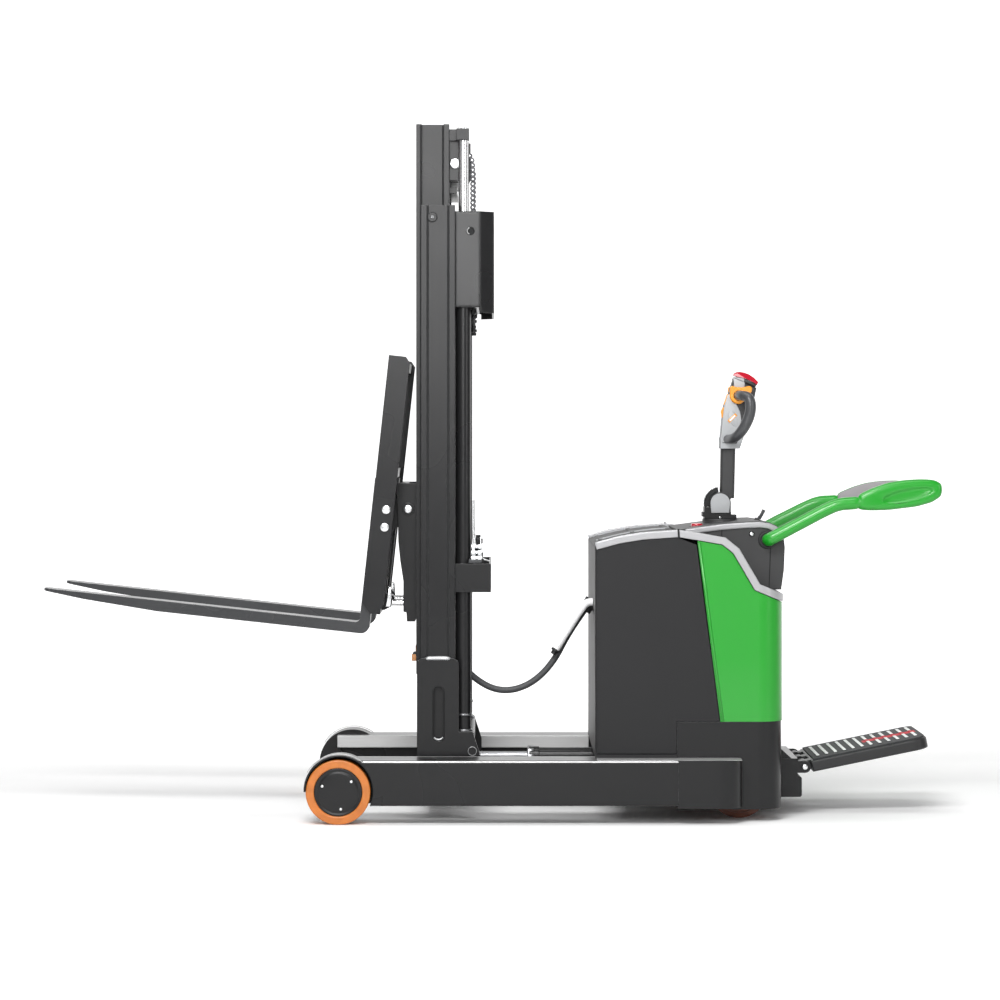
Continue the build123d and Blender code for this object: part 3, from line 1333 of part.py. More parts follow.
# Forks: hooked shank and tapering blade
shank_rear = bar_front - slide_gap
shank_front = shank_rear - fork_thick
tip = shank_front - fork_length
with BuildPart() as fork_left:
    hook_low = upper_bar[1] + slide_gap
    hook_top = hook_low + hook_rise
    hook_in = hook_x + slide_gap
    blade_top = fork_sole + fork_heel
    with BuildSketch(slab(fork_plane, fork_y - fork_width / 2)) as fork_side:
        with BuildLine():
            Polyline(
                (shank_front, fork_shank_top), (hook_x + hook_rise, fork_shank_top),
                (hook_x + hook_rise, hook_low), (hook_in, hook_low), (hook_in, hook_top),
                (shank_rear, hook_top), (shank_rear, fork_sole), (tip + fork_taper, fork_sole),
                (tip + 136, blade_top - 22), (tip, blade_top - fork_tip), (tip, blade_top),
                (shank_front, blade_top), close=True,
            )
        make_face()
        fillet(fork_side.vertices().sort_by_distance((shank_rear, fork_sole, 0))[0], fork_heel_r)
        fillet(fork_side.vertices().sort_by_distance((shank_front, blade_top, 0))[0], fork_crook_r)
    extrude(amount=fork_width)
    tip_edges = fork_left.edges().filter_by(lambda edge: abs(edge.length - fork_tip) < 0.01)
    fillet(tip_edges, 30)
write_piece(fork_left, "fork_left")

with BuildPart() as fork_right:
    mirror(fork_left.part, about=Plane.XZ)
write_piece(fork_right, "fork_right")

# Mast hose with its protective sleeve
route = [Vector(x, hose_y, z) for x, z in hose_points]
radii = []
for before, here, after in zip(route, route[1:], route[2:]):
    turn = (here - before).get_angle(after - here)
    shorter = min((here - before).length, (after - here).length)
    radii.append(0.45 * shorter / math.tan(math.radians(turn) / 2))
with BuildPart() as hose:
    with BuildLine() as hose_line:
        FilletPolyline(*route, radius=radii)
    with BuildSketch(Plane(origin=route[0], z_dir=hose_dir)):
        Circle(hose_r)
    sweep(path=hose_line.line)
hose_length = sum(edge.length for edge in hose_line.edges())
print("hose length", round(hose_length, 1), "least bend", round(min(radii), 1))
write_piece(hose, "reach_hose")
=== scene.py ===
import math

import bmesh
import bpy
from mathutils import Matrix, Vector
from mathutils.geometry import intersect_line_line_2d


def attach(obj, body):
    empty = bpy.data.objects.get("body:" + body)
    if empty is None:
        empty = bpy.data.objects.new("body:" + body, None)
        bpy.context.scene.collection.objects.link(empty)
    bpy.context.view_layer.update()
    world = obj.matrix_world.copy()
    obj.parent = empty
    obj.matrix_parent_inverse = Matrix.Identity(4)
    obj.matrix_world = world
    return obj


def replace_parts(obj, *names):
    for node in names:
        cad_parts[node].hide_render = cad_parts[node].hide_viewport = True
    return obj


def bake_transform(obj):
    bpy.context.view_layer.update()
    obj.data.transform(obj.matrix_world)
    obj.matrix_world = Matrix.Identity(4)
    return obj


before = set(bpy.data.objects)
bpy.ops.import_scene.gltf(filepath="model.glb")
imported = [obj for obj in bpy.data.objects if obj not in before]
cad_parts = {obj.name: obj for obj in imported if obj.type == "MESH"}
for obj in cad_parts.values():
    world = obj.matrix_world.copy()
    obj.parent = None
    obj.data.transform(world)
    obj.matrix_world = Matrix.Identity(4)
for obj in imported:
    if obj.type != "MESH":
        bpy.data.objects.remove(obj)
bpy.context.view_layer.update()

bl_info = {
    "name": "Electric reach stacker",
    "version": (1, 0, 0),
    "blender": (4, 5, 0),
    "location": "3D View > Sidebar > Stacker",
    "description": "Finishes and small fittings for the stacker, and the studio it stands in",
    "category": "Object",
}

MM = 0.001
LEFT_RIGHT = (("left", -1), ("right", 1))
PHOTO_SIZE = 1000
# Away from the truck's middle on the right side, and upwards
OUT = (0, 1, 0)
UP = (0, 0, 1)
# Faces that meet at a wider turn than this keep a sharp corner between them
SHARP_CORNER = math.radians(38)
WHITE = (1.0, 1.0, 1.0, 1.0)


def linear(hex_code):
    """Turns an sRGB hex colour into linear red, green, blue and alpha."""
    values = [int(hex_code[i : i + 2], 16) / 255 for i in (1, 3, 5)]
    return tuple(v / 12.92 if v <= 0.04045 else ((v + 0.055) / 1.055) ** 2.4 for v in values) + (1.0,)


def point(x, y, z):
    """A place on the truck given in millimetres."""
    return Vector((x, y, z)) * MM


def ramp(value, start, end):
    """Goes evenly from 0 at the start to 1 at the end, and no further."""
    return min(1.0, max(0.0, (value - start) / (end - start)))


def per(size_mm):
    """How many of a pattern's features of that size in mm go into a metre."""
    return 1 / (size_mm * MM)


# Sizes and colours

FORK_PIVOT = (-281.0, 1014.0)
FORK_LEAN = math.radians(6.2)
DECK_HINGE = (1036.0, 158.0)
DECK_RISE = math.radians(11.6)
LIFT_ROD_TOP = 2232.0
# X and Y of the lift cylinders' axes
LIFT_CYLINDER = (-97.0, 290.0)
# Outer face of the inner channel's flange and of its web, from the middle of the truck
INNER_FACE = 278.0
INNER_WEB = 255.0
HOSE_Y = -120.0
CONDUIT_Y = -146.0
CONDUIT_ROUTE = [(338, 702), (316, 703), (298, 682), (252, 612), (209, 541)]
HOSE_ROUTE = [(306, 672), (256, 603), (200, 492), (122, 420), (30, 398), (-56, 436), (-100, 484)]
PADDLE = [
    (1197, 1014), (1240, 1011), (1303, 1013), (1393, 1024), (1443, 1038), (1472, 1057), (1477, 1077),
    (1474, 1100), (1450, 1113), (1404, 1115), (1351, 1112), (1297, 1103), (1250, 1087), (1200, 1064),
]
ARM_ROUTE = [
    (905, 279, 914), (905, 326, 914), (908, 345, 916), (945, 346, 935), (1030, 346, 980), (1100, 346, 1017),
    (1140, 346, 1033), (1184, 346, 1035), (1226, 346, 1041),
]


class StackerSizes(bpy.types.PropertyGroup):
    """Sizes of the small fittings."""

    hose_diameter: bpy.props.FloatProperty(
        name="Hose diameter", description="Outside of the mast hose", default=0.022, unit="LENGTH"
    )
    conduit_diameter: bpy.props.FloatProperty(
        name="Conduit diameter", description="Outside of the white conduit beside the hose", default=0.026,
        unit="LENGTH",
    )
    chain_pitch: bpy.props.FloatProperty(
        name="Chain pitch", description="Distance between the chain's pins", default=0.015875, unit="LENGTH"
    )
    screw_circle: bpy.props.FloatProperty(
        name="Screw circle", description="Radius of the screws on the load wheels", default=0.055, unit="LENGTH"
    )
    edge_round: bpy.props.FloatProperty(
        name="Edge round", description="How far the light rounds a plate's edges", default=0.003, unit="LENGTH"
    )


class StackerColours(bpy.types.PropertyGroup):
    """Colours of the truck's finishes."""

    cover: bpy.props.FloatVectorProperty(
        name="Covers", description="Rear cover and side arms", subtype="COLOR", size=4, default=linear("#169020")
    )
    steelwork: bpy.props.FloatVectorProperty(
        name="Steelwork", description="Legs, mast and lower body", subtype="COLOR", size=4, default=linear("#1b1b1c")
    )
    panels: bpy.props.FloatVectorProperty(
        name="Panels", description="Sides of the battery housing", subtype="COLOR", size=4, default=linear("#252526")
    )
    tyres: bpy.props.FloatVectorProperty(
        name="Tyres", description="Treads of the load wheels", subtype="COLOR", size=4, default=linear("#bd6d28")
    )
    trim: bpy.props.FloatVectorProperty(
        name="Trim", description="Strips along the body's top edge", subtype="COLOR", size=4,
        default=linear("#aaaaac"),
    )


# Finishes


def feed(tree, node, sockets):
    """Gives a node's inputs values or hex colours, or links them to an output or to a node's first output."""
    for key, value in sockets.items():
        source = value.outputs[0] if isinstance(value, bpy.types.Node) else value
        if isinstance(source, bpy.types.NodeSocket):
            tree.links.new(source, node.inputs[key])
        else:
            node.inputs[key].default_value = linear(source) if isinstance(source, str) else source


def add(tree, kind, sockets=None, **settings):
    """Adds a shader node with its settings and what its inputs take."""
    node = tree.nodes.new("ShaderNode" + kind)
    for name, value in settings.items():
        setattr(node, name, value)
    feed(tree, node, sockets or {})
    return node


def noise(tree, place, size_mm, detail):
    """Noise with features of that size in mm."""
    return add(tree, "TexNoise", {"Vector": place, "Scale": per(size_mm), "Detail": detail})


def spread(tree, value, low, high, first, last):
    """Turns a value between low and high into one between first and last."""
    return add(tree, "MapRange", {"Value": value, 1: low, 2: high, 3: first, 4: last})


def arithmetic(tree, operation, *values):
    """One step of reckoning with values."""
    return add(tree, "Math", dict(enumerate(values)), operation=operation)


def mixed(tree, share, colour, other):
    """A colour with that share of another in it."""
    return add(tree, "Mix", {0: share, 6: colour, 7: other}, data_type="RGBA").outputs[2]


def begin(name, colour, roughness, **sockets):
    """A new material with its shader, and the object's own coordinates in metres."""
    finish = bpy.data.materials.new(name)
    finish.use_nodes = True
    tree = finish.node_tree
    shader = tree.nodes["Principled BSDF"]
    named = {key.replace("_", " ").title().replace("Ior", "IOR"): value for key, value in sockets.items()}
    feed(tree, shader, {"Base Color": colour, "Roughness": roughness, **named})
    place = add(tree, "TexCoord").outputs["Object"]
    return finish, tree, shader, place


def coated(name, colour, roughness, grain_mm, grain, edge_mm=3.0, wear=0.0, worn="#6f7072", mottle=0.07, **sockets):
    """Paint or moulded plastic: fine grain, slow change of tone, softened edges and rubbed corners."""
    finish, tree, shader, place = begin(name, colour, roughness, **sockets)
    # Real grain is finer than the picture can show, so it is drawn as coarse as it needs to be seen
    fine = noise(tree, place, grain_mm, 3.0)
    slow = noise(tree, place, 250, 1.0)
    tone = spread(tree, slow, 0.0, 1.0, 1 - mottle, 1 + mottle)
    shade = add(tree, "HueSaturation", {"Value": tone, "Color": colour})
    rounded = add(tree, "Bevel", {"Radius": edge_mm * MM}, samples=6)
    bump = add(tree, "Bump", {"Strength": grain, "Distance": 0.0006, "Height": fine, "Normal": rounded})
    gloss = spread(tree, slow, 0.0, 1.0, roughness - 0.05, roughness + 0.06)
    if wear:
        flat = add(tree, "NewGeometry").outputs["Normal"]
        turn = add(tree, "VectorMath", {0: rounded, 1: flat}, operation="DOT_PRODUCT").outputs["Value"]
        edge = spread(tree, turn, 0.97, 0.8, 0.0, wear)
        patchy = noise(tree, place, 16.6667, 5.0)
        patch = spread(tree, patchy, 0.42, 0.62, 0.2, 1.0)
        share = arithmetic(tree, "MULTIPLY", edge, patch)
        shade = mixed(tree, share, shade, worn)
    feed(tree, shader, {"Base Color": shade, "Roughness": gloss, "Normal": bump})
    return finish


def machined(name, colour, roughness, groove_mm, along, edge_mm=1.5, depth=0.25, streak=0.08):
    """Ground, turned or drawn metal: fine lines that run one way."""
    finish, tree, shader, place = begin(name, colour, roughness, metallic=1.0)
    # Tool marks are closer than the picture can show, so they are drawn as wide as they need to be seen
    stretch = [per(groove_mm)] * 3
    stretch["XYZ".index(along)] *= 0.01
    lines = add(tree, "Mapping", {"Vector": place, "Scale": stretch})
    fine = add(tree, "TexNoise", {"Vector": lines, "Scale": 1.0, "Detail": 3.0})
    rounded = add(tree, "Bevel", {"Radius": edge_mm * MM}, samples=6)
    bump = add(tree, "Bump", {"Strength": depth, "Distance": 0.0002, "Height": fine, "Normal": rounded})
    gloss = spread(tree, fine, 0.3, 0.7, roughness - 0.06, roughness + 0.1)
    tone = spread(tree, fine, 0.3, 0.7, 1 - streak, 1 + streak)
    shade = add(tree, "HueSaturation", {"Value": tone, "Color": colour})
    feed(tree, shader, {"Base Color": shade, "Roughness": gloss, "Normal": bump})
    return finish


def tread(name, colour):
    """Cast polyurethane: slightly cloudy, with light scuffs round the rim."""
    finish, tree, shader, place = begin(
        name, colour, 0.42, subsurface_weight=0.15, subsurface_scale=0.006, coat_weight=0.15
    )
    cloud = noise(tree, place, 35.7143, 5.0)
    tone = spread(tree, cloud, 0.3, 0.7, 0.86, 1.1)
    shade = add(tree, "HueSaturation", {"Value": tone, "Color": colour})
    scuff = noise(tree, place, 2, 2.0)
    bump = add(tree, "Bump", {"Strength": 0.12, "Distance": 0.0005, "Height": scuff})
    feed(tree, shader, {"Base Color": shade, "Normal": bump})
    return finish


def ribbed_mat(name):
    """Moulded rubber mat: dark sheet, pale rib tops and a red line down the outer half."""
    dark = "#2c2d2f"
    # Sizes in metres on the level deck, from its hinge
    rib_top, line_half_width, line_middle, line_half_length = 0.0206, 0.033, 0.313, 0.091
    finish, tree, shader, place = begin(name, dark, 0.7)
    hinge = (DECK_HINGE[0] * MM, 0.0, DECK_HINGE[1] * MM)
    turned = add(tree, "VectorMath", {0: place, 1: hinge}, operation="SUBTRACT")
    level = add(tree, "Mapping", {"Vector": turned, "Rotation": (0.0, DECK_RISE, 0.0)})
    axes = add(tree, "SeparateXYZ", {0: level}).outputs
    top = arithmetic(tree, "GREATER_THAN", axes["Z"], rib_top)
    patchy = noise(tree, place, 8.3333, 4.0)
    fade = spread(tree, patchy, 0.3, 0.6, 0.8, 1.0)
    share = arithmetic(tree, "MULTIPLY", top, fade)
    ribs = mixed(tree, share, dark, "#f2f2f2")
    side = arithmetic(tree, "ABSOLUTE", axes["Y"])
    near = arithmetic(tree, "LESS_THAN", side, line_half_width)
    half = arithmetic(tree, "COMPARE", axes["X"], line_middle, line_half_length)
    line = arithmetic(tree, "MULTIPLY", near, half)
    red = mixed(tree, line, ribs, "#c2182c")
    grain = noise(tree, place, 1.42857, 2.0)
    bump = add(tree, "Bump", {"Strength": 0.25, "Distance": 0.0006, "Height": grain})
    feed(tree, shader, {"Base Color": red, "Normal": bump})
    return finish


def finishes():
    """Every finish on the truck, by the name that the pieces use."""
    colours = bpy.context.scene.stacker_colours
    edge = bpy.context.scene.stacker_sizes.edge_round / MM
    steelwork = tuple(colours.steelwork)
    panels = tuple(colours.panels)
    cover = tuple(colours.cover)
    tyres = tuple(colours.tyres)
    return {
        # Powder coat on rolled steel: satin, faint orange peel, edges rubbed paler by use
        "steelwork": coated(
            "powder coat", steelwork, 0.28, 2.5, 0.08, edge, wear=0.35, IOR=1.5, specular_ior_level=0.33
        ),
        # The same coat on folded sheet: wide bends that catch a broad highlight
        "folded": coated(
            "powder coat on folded sheet", steelwork, 0.28, 2.5, 0.08, 12.0, IOR=1.5, specular_ior_level=0.42
        ),
        # The same coat on the forks, scraped along edges by pallets
        "forks": coated("scraped powder coat", "#2f3032", 0.28, 2.5, 0.08, edge, wear=0.7, worn="#8d8e90", IOR=1.5),
        # Thick black coat on the platform: dull, hides the sheet's edges
        "deck": coated("black powder coat", "#1f1f20", 0.42, 2.0, 0.12, 8.0, IOR=1.5),
        # Smooth satin enamel on flat sheet: even, with soft wide reflections
        "panels": coated(
            "satin enamel", panels, 0.46, 3.0, 0.03, edge, wear=0.15, mottle=0.04, IOR=1.5, specular_ior_level=0.2
        ),
        # Injection moulded ABS with a spark texture: dull and even
        "cowl": coated("textured ABS", "#2a2a2b", 0.5, 1.6, 0.2, 6.0, IOR=1.53),
        # The battery lid: the same moulding painted darker, as shade against the overhead light on its top, so its
        # trays look deep
        "lid": coated("textured ABS darkened as painted shade", "#262627", 0.55, 1.6, 0.2, 5.0, IOR=1.53),
        # Glossy pigmented ABS: clear highlights on a deep colour
        "cover": coated("gloss green ABS", cover, 0.3, 6.0, 0.02, 6.0, mottle=0.02, IOR=1.53, coat_weight=0.3),
        # Powder coat on bent tube: as green as the cover, a little softer
        "arms": coated("green powder coat", cover, 0.32, 2.2, 0.05, 4.0, mottle=0.03, IOR=1.5, coat_weight=0.25),
        # Silver paint on moulded strip: pale, with a metal flake's sheen
        "trim": coated("silver lacquer", tuple(colours.trim), 0.3, 1.2, 0.06, 8.0, metallic=0.35, IOR=1.5),
        # Pale moulded polypropylene: matt and slightly grainy
        "pale": coated("grey polypropylene", "#a9abad", 0.45, 1.4, 0.12, 3.0, IOR=1.49),
        # Dark grip moulding: satin where hands polish it
        "grip": coated("black polyamide", "#3c3d3f", 0.34, 1.2, 0.12, 3.0, IOR=1.53),
        # Gloss controls: bright pigmented polycarbonate
        "red": coated("red polycarbonate", "#b00c26", 0.12, 4.0, 0.02, 2.0, IOR=1.58, coat_weight=1.0),
        "orange": coated("orange polycarbonate", "#f09a26", 0.28, 4.0, 0.02, 2.0, IOR=1.58, coat_weight=0.3),
        # Cast polyurethane stops: dull brown orange
        "buffer": coated("cast brown polyurethane", "#b07a4c", 0.5, 2.0, 0.1, 3.0, IOR=1.5),
        # Moulded rubber: matt black
        "rubber": coated("black rubber", "#1d1e1f", 0.6, 1.0, 0.2, 2.0, IOR=1.52),
        # Rubber hose with a woven cover: dull grey where the weave scatters light
        "hose": coated("woven hose cover", "#454648", 0.55, 1.5, 0.4, 2.0, IOR=1.52),
        # Painted shade for narrow seams, grooves, recesses and shaded corners: darker than any paint, without a
        # highlight
        "seam": coated("painted seam shade", "#101112", 0.8, 1.0, 0.1, 1.0, IOR=1.5),
        # Closed-cell foam skin on the arm pads: soft grey, very dull
        "foam": coated("moulded closed-cell foam", "#8b888a", 0.75, 0.9, 0.35, 3.0, IOR=1.45),
        # Grey iron with a thin coat of paint: rough casting skin
        "casting": coated("painted cast iron", "#3a3b3d", 0.55, 1.8, 0.5, 2.0, IOR=1.5),
        # Bare weld, left as laid: rippled, bright grey
        "weld": coated("bare weld metal", "#b4b5b6", 0.4, 3.0, 0.8, 1.0, metallic=0.8),
        # Ground rail bar: dull sheen, drawn out by lines along the truck
        "rail": machined("ground steel", "#c9c9c9", 0.5, 0.8, "X"),
        # Turned rollers and pulleys: bands of light from the lines round the axle
        "turned": machined("turned steel", "#9b9c9e", 0.32, 1.0, "Y"),
        # Hard chrome on piston rods: mirror with faint polishing lines
        "chrome": machined("hard chrome", "#f2f2f3", 0.24, 0.3, "Z", 1.0, depth=0.0, streak=0.01),
        # Zinc-plated bolts and fittings: bright and slightly cloudy
        "zinc": machined("bright zinc", "#e9eaeb", 0.26, 1.2, "Z", depth=0.1),
        # Oiled chain plates: dark steel that shines on the edges
        "chain": machined("oiled steel", "#4c4c4e", 0.36, 1.0, "Z"),
        # Cast treads: waxy orange on the load wheels, browner with floor dust on the others
        "tyre": tread("cast polyurethane", tyres),
        "worn_tyre": tread("dusty polyurethane", "#8a4a30"),
        # Moulded mat: ribs pale on their tops, on a dark sheet
        "mat": ribbed_mat("ribbed rubber"),
        # White moulded conduit round the hose's wires: plain, slightly waxy
        "conduit": coated("white polyamide", "#f4f4f4", 0.42, 2.0, 0.05, 2.0, mottle=0.02, IOR=1.53),
    }


NODE_FINISH = {
    "steelwork": (
        "legs chassis_frame platform_bracket outer_channels inner_channels mast_base "
        "lift_barrels crosshead valve_bracket lift_carriage tilt_barrels fork_frame load_backrest reach_barrel "
        "load_hub_left load_hub_right tiller_base"
    ),
    "folded": "upper_tie",
    "deck": "platform_deck",
    "forks": "fork_left fork_right",
    "panels": "battery_housing",
    "lid": "top_cover",
    "cowl": "rear_cowl tiller_head tiller_arm battery",
    "cover": "rear_cover",
    "trim": "trim_strips",
    "grip": "tiller_grips key",
    "red": "belly_button estop_button",
    "orange": "throttle lift_rocker",
    "casting": "drive_unit power_pack castor_fork_left castor_fork_right chain_pulleys",
    "rail": "reach_rails",
    "turned": (
        "outer_mast_rollers inner_mast_rollers carriage_rollers_upper carriage_rollers_lower foot_rollers_front "
        "foot_rollers_rear reach_rod"
    ),
    "chrome": "lift_rods tilt_rods",
    "tyre": "load_tyre_left load_tyre_right",
    "worn_tyre": "drive_wheel castor_wheel_left castor_wheel_right",
}


def finish_of(name):
    """The finish with that short name, made once for the scene."""
    scene = bpy.context.scene
    if "stacker_finishes" not in scene:
        scene["stacker_finishes"] = {key: finish.name for key, finish in finishes().items()}
    return bpy.data.materials[scene["stacker_finishes"][name]]


# Making meshes


def place_piece(name, form, finish, body=None):
    """Turns a bmesh into a piece: smooth faces, sharp corners kept, finished and riding on its body."""
    bmesh.ops.recalc_face_normals(form, faces=form.faces)
    for face in form.faces:
        face.smooth = True
    for side in form.edges:
        side.smooth = len(side.link_faces) == 2 and side.calc_face_angle(0.0) < SHARP_CORNER
    mesh = bpy.data.meshes.new(name)
    form.to_mesh(mesh)
    form.free()
    piece = bpy.data.objects.new(name, mesh)
    bpy.context.scene.collection.objects.link(piece)
    mesh.materials.append(finish_of(finish))
    if body:
        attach(piece, body)
    return piece


def shaped(shapes, **options):
    """A bmesh with these shapes in it, each a forming function and what it needs."""
    form = bmesh.new()
    for shape, *details in shapes:
        shape(form, *details, **options)
    return form


def single(name, finish, body, *shapes, slot=None):
    """Makes one piece from its shapes."""
    return place_piece(name, shaped(shapes), finish, body)


def pair(name, finish, body, *shapes, slot=None):
    """Makes like pieces on both sides from shapes given for the right side."""
    return [
        place_piece(f"{name}_{hand}", shaped(shapes, side=side), finish, body.format(hand))
        for hand, side in LEFT_RIGHT
    ]


def on_side(spot, side):
    """A place or direction on the right side, or its mirror image on the left."""
    return Vector((spot[0], side * spot[1], spot[2]))


def at_depth(outline, y):
    """Places in metres from X and Z in mm, all at one Y."""
    return [point(x, y, z) for x, z in outline]


def arc(x, z, radius, start, end, steps):
    """Places along an arc round a middle, from one angle in degrees to another."""
    turns = [math.radians(start + (end - start) * step / steps) for step in range(steps + 1)]
    return [(x + radius * math.cos(turn), z + radius * math.sin(turn)) for turn in turns]


def circle(radius, steps):
    """Places round a full circle, each once."""
    return arc(0, 0, radius, 0, 360, steps)[:-1]


def oblong(left, right, low, high):
    """Outline of an upright oblong."""
    return [(left, low), (right, low), (right, high), (left, high)]


def dome(radius, height):
    """Profile of a domed bolt head."""
    return [(radius, 0), (radius, 0.5 * height), (0.93 * radius, 0.85 * height), (0.8 * radius, height), (0, height)]


def bent(points, low, high):
    """Outline of a strip beside an open line, between two distances from it, with mitred corners."""
    normals = []
    for (x0, z0), (x1, z1) in zip(points, points[1:]):
        run = math.hypot(x1 - x0, z1 - z0)
        normals.append((-(z1 - z0) / run, (x1 - x0) / run))
    sides = []
    for distance in (high, low):
        moved = []
        for index, (x, z) in enumerate(points):
            before, after = normals[max(index - 1, 0)], normals[min(index, len(normals) - 1)]
            share = distance / (1 + before[0] * after[0] + before[1] * after[1])
            moved.append((x + share * (before[0] + after[0]), z + share * (before[1] + after[1])))
        sides.append(moved)
    return sides[0] + sides[1][::-1]


def on_frame(along, up):
    """X and Z in mm of a place on the leaning fork frame, measured from its pivot."""
    x = FORK_PIVOT[0] + along * math.cos(FORK_LEAN) + up * math.sin(FORK_LEAN)
    z = FORK_PIVOT[1] - along * math.sin(FORK_LEAN) + up * math.cos(FORK_LEAN)
    return x, z


def skin_form(form, rings, closed=False):
    """Joins rings of places into a skin: its ends get a face each, or it runs round to its first ring."""
    steps = max(len(ring) for ring in rings)
    loops = []
    for ring in rings:
        corners = [form.verts.new(place) for place in ring]
        # A ring of one place is a tip
        loops.append(corners * (steps // len(corners)))
    ends = []
    if closed:
        loops.append(loops[0])
    else:
        ends = [form.faces.new(loop) for loop in (loops[0], loops[-1][::-1]) if len(set(loop)) > 2]
    for low, high in zip(loops, loops[1:]):
        for step in range(steps):
            after = (step + 1) % steps
            form.faces.new(list(dict.fromkeys((low[step], low[after], high[after], high[step]))))
    return ends


def turned_form(form, centre, axis, profile, steps=28, side=1):
    """Adds a turned shape to a bmesh: profile is (radius, height) in mm from one end to the other."""
    out = on_side(axis, side).normalized()
    across = out.orthogonal().normalized()
    up = out.cross(across)
    rings = []
    for radius, height in profile:
        middle = on_side(centre, side) + out * height * MM
        round_middle = [middle + across * a + up * b for a, b in circle(radius * MM, steps)]
        rings.append(round_middle if radius else [middle])
    skin_form(form, rings)


def slab_form(form, outline, low, high, bevel_mm=1.0, side=1):
    """Adds a flat plate to a bmesh: an outline in X and Z, from one Y to another, in mm, with rounded edges."""
    ends = skin_form(form, [at_depth(outline, side * low), at_depth(outline, side * high)])
    if bevel_mm:
        edges = [edge for face in ends for edge in face.edges]
        bmesh.ops.bevel(form, geom=edges, offset=bevel_mm * MM, segments=2, affect="EDGES", profile=0.5)


def tube_form(form, line, radius, steps=20, shape=None, side=1):
    """Adds a tube to a bmesh along places in metres; shape can change the radius from end to end."""
    line = [on_side(spot, side) for spot in line]
    last = len(line) - 1
    across = (line[1] - line[0]).normalized().orthogonal()
    rings = []
    for index, spot in enumerate(line):
        direction = (line[min(index + 1, last)] - line[max(index - 1, 0)]).normalized()
        across = (across - direction * across.dot(direction)).normalized()
        up = direction.cross(across)
        size = radius * (shape(index / last) if shape else 1.0)
        rings.append([spot + across * a + up * b for a, b in circle(size, steps)])
    skin_form(form, rings)


def smooth_line(points, resolution=10):
    """Places along the smooth curve that has these control points, in metres."""
    data = bpy.data.curves.new("route", "CURVE")
    data.dimensions = "3D"
    data.resolution_u = resolution
    spline = data.splines.new("NURBS")
    spline.points.add(len(points) - 1)
    for knot, spot in zip(spline.points, points):
        knot.co = (*spot, 1.0)
    spline.order_u = 3
    spline.use_endpoint_u = True
    carrier = bpy.data.objects.new("route", data)
    bpy.context.scene.collection.objects.link(carrier)
    bpy.context.view_layer.update()
    drawn = bpy.data.meshes.new_from_object(carrier)
    line = [vertex.co.copy() for vertex in drawn.vertices]
    bpy.data.meshes.remove(drawn)
    bpy.data.objects.remove(carrier)
    bpy.data.curves.remove(data)
    return line


# Pieces


class STACKER_OT_finishes(bpy.types.Operator):
    """Gives every solid of the truck its finish"""

    bl_idname = "stacker.finishes"
    bl_label = "Finishes"

    def execute(self, context):
        for finish, names in NODE_FINISH.items():
            for name in names.split():
                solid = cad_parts[name]
                solid.data.materials.clear()
                solid.data.materials.append(finish_of(finish))
        return {"FINISHED"}


class STACKER_OT_hose(bpy.types.Operator):
    """Makes the mast hose and the white conduit beside its upper end"""

    bl_idname = "stacker.hose"
    bl_label = "Mast hose"

    collar = [(11, -5), (14, -4), (14, 4), (9, 5), (9, 16)]

    def execute(self, context):
        sizes = context.scene.stacker_sizes
        line = smooth_line(at_depth(HOSE_ROUTE, HOSE_Y))
        beside = smooth_line(at_depth(CONDUIT_ROUTE, CONDUIT_Y))
        lower_end = (turned_form, beside[-1], beside[-1] - beside[-2], self.collar)
        hose, conduit, collar = (
            single(name, finish, None, shape, slot="hose_rubber")
            for name, finish, shape in (
                ("mast_hose", "hose", (tube_form, line, sizes.hose_diameter / 2)),
                ("hose_conduit", "conduit", (tube_form, beside, sizes.conduit_diameter / 2, 24)),
                ("conduit_collar", "rubber", lower_end),
            )
        )
        for piece in (hose, conduit, collar):
            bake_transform(piece)
        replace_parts(hose, "reach_hose")
        return {"FINISHED"}


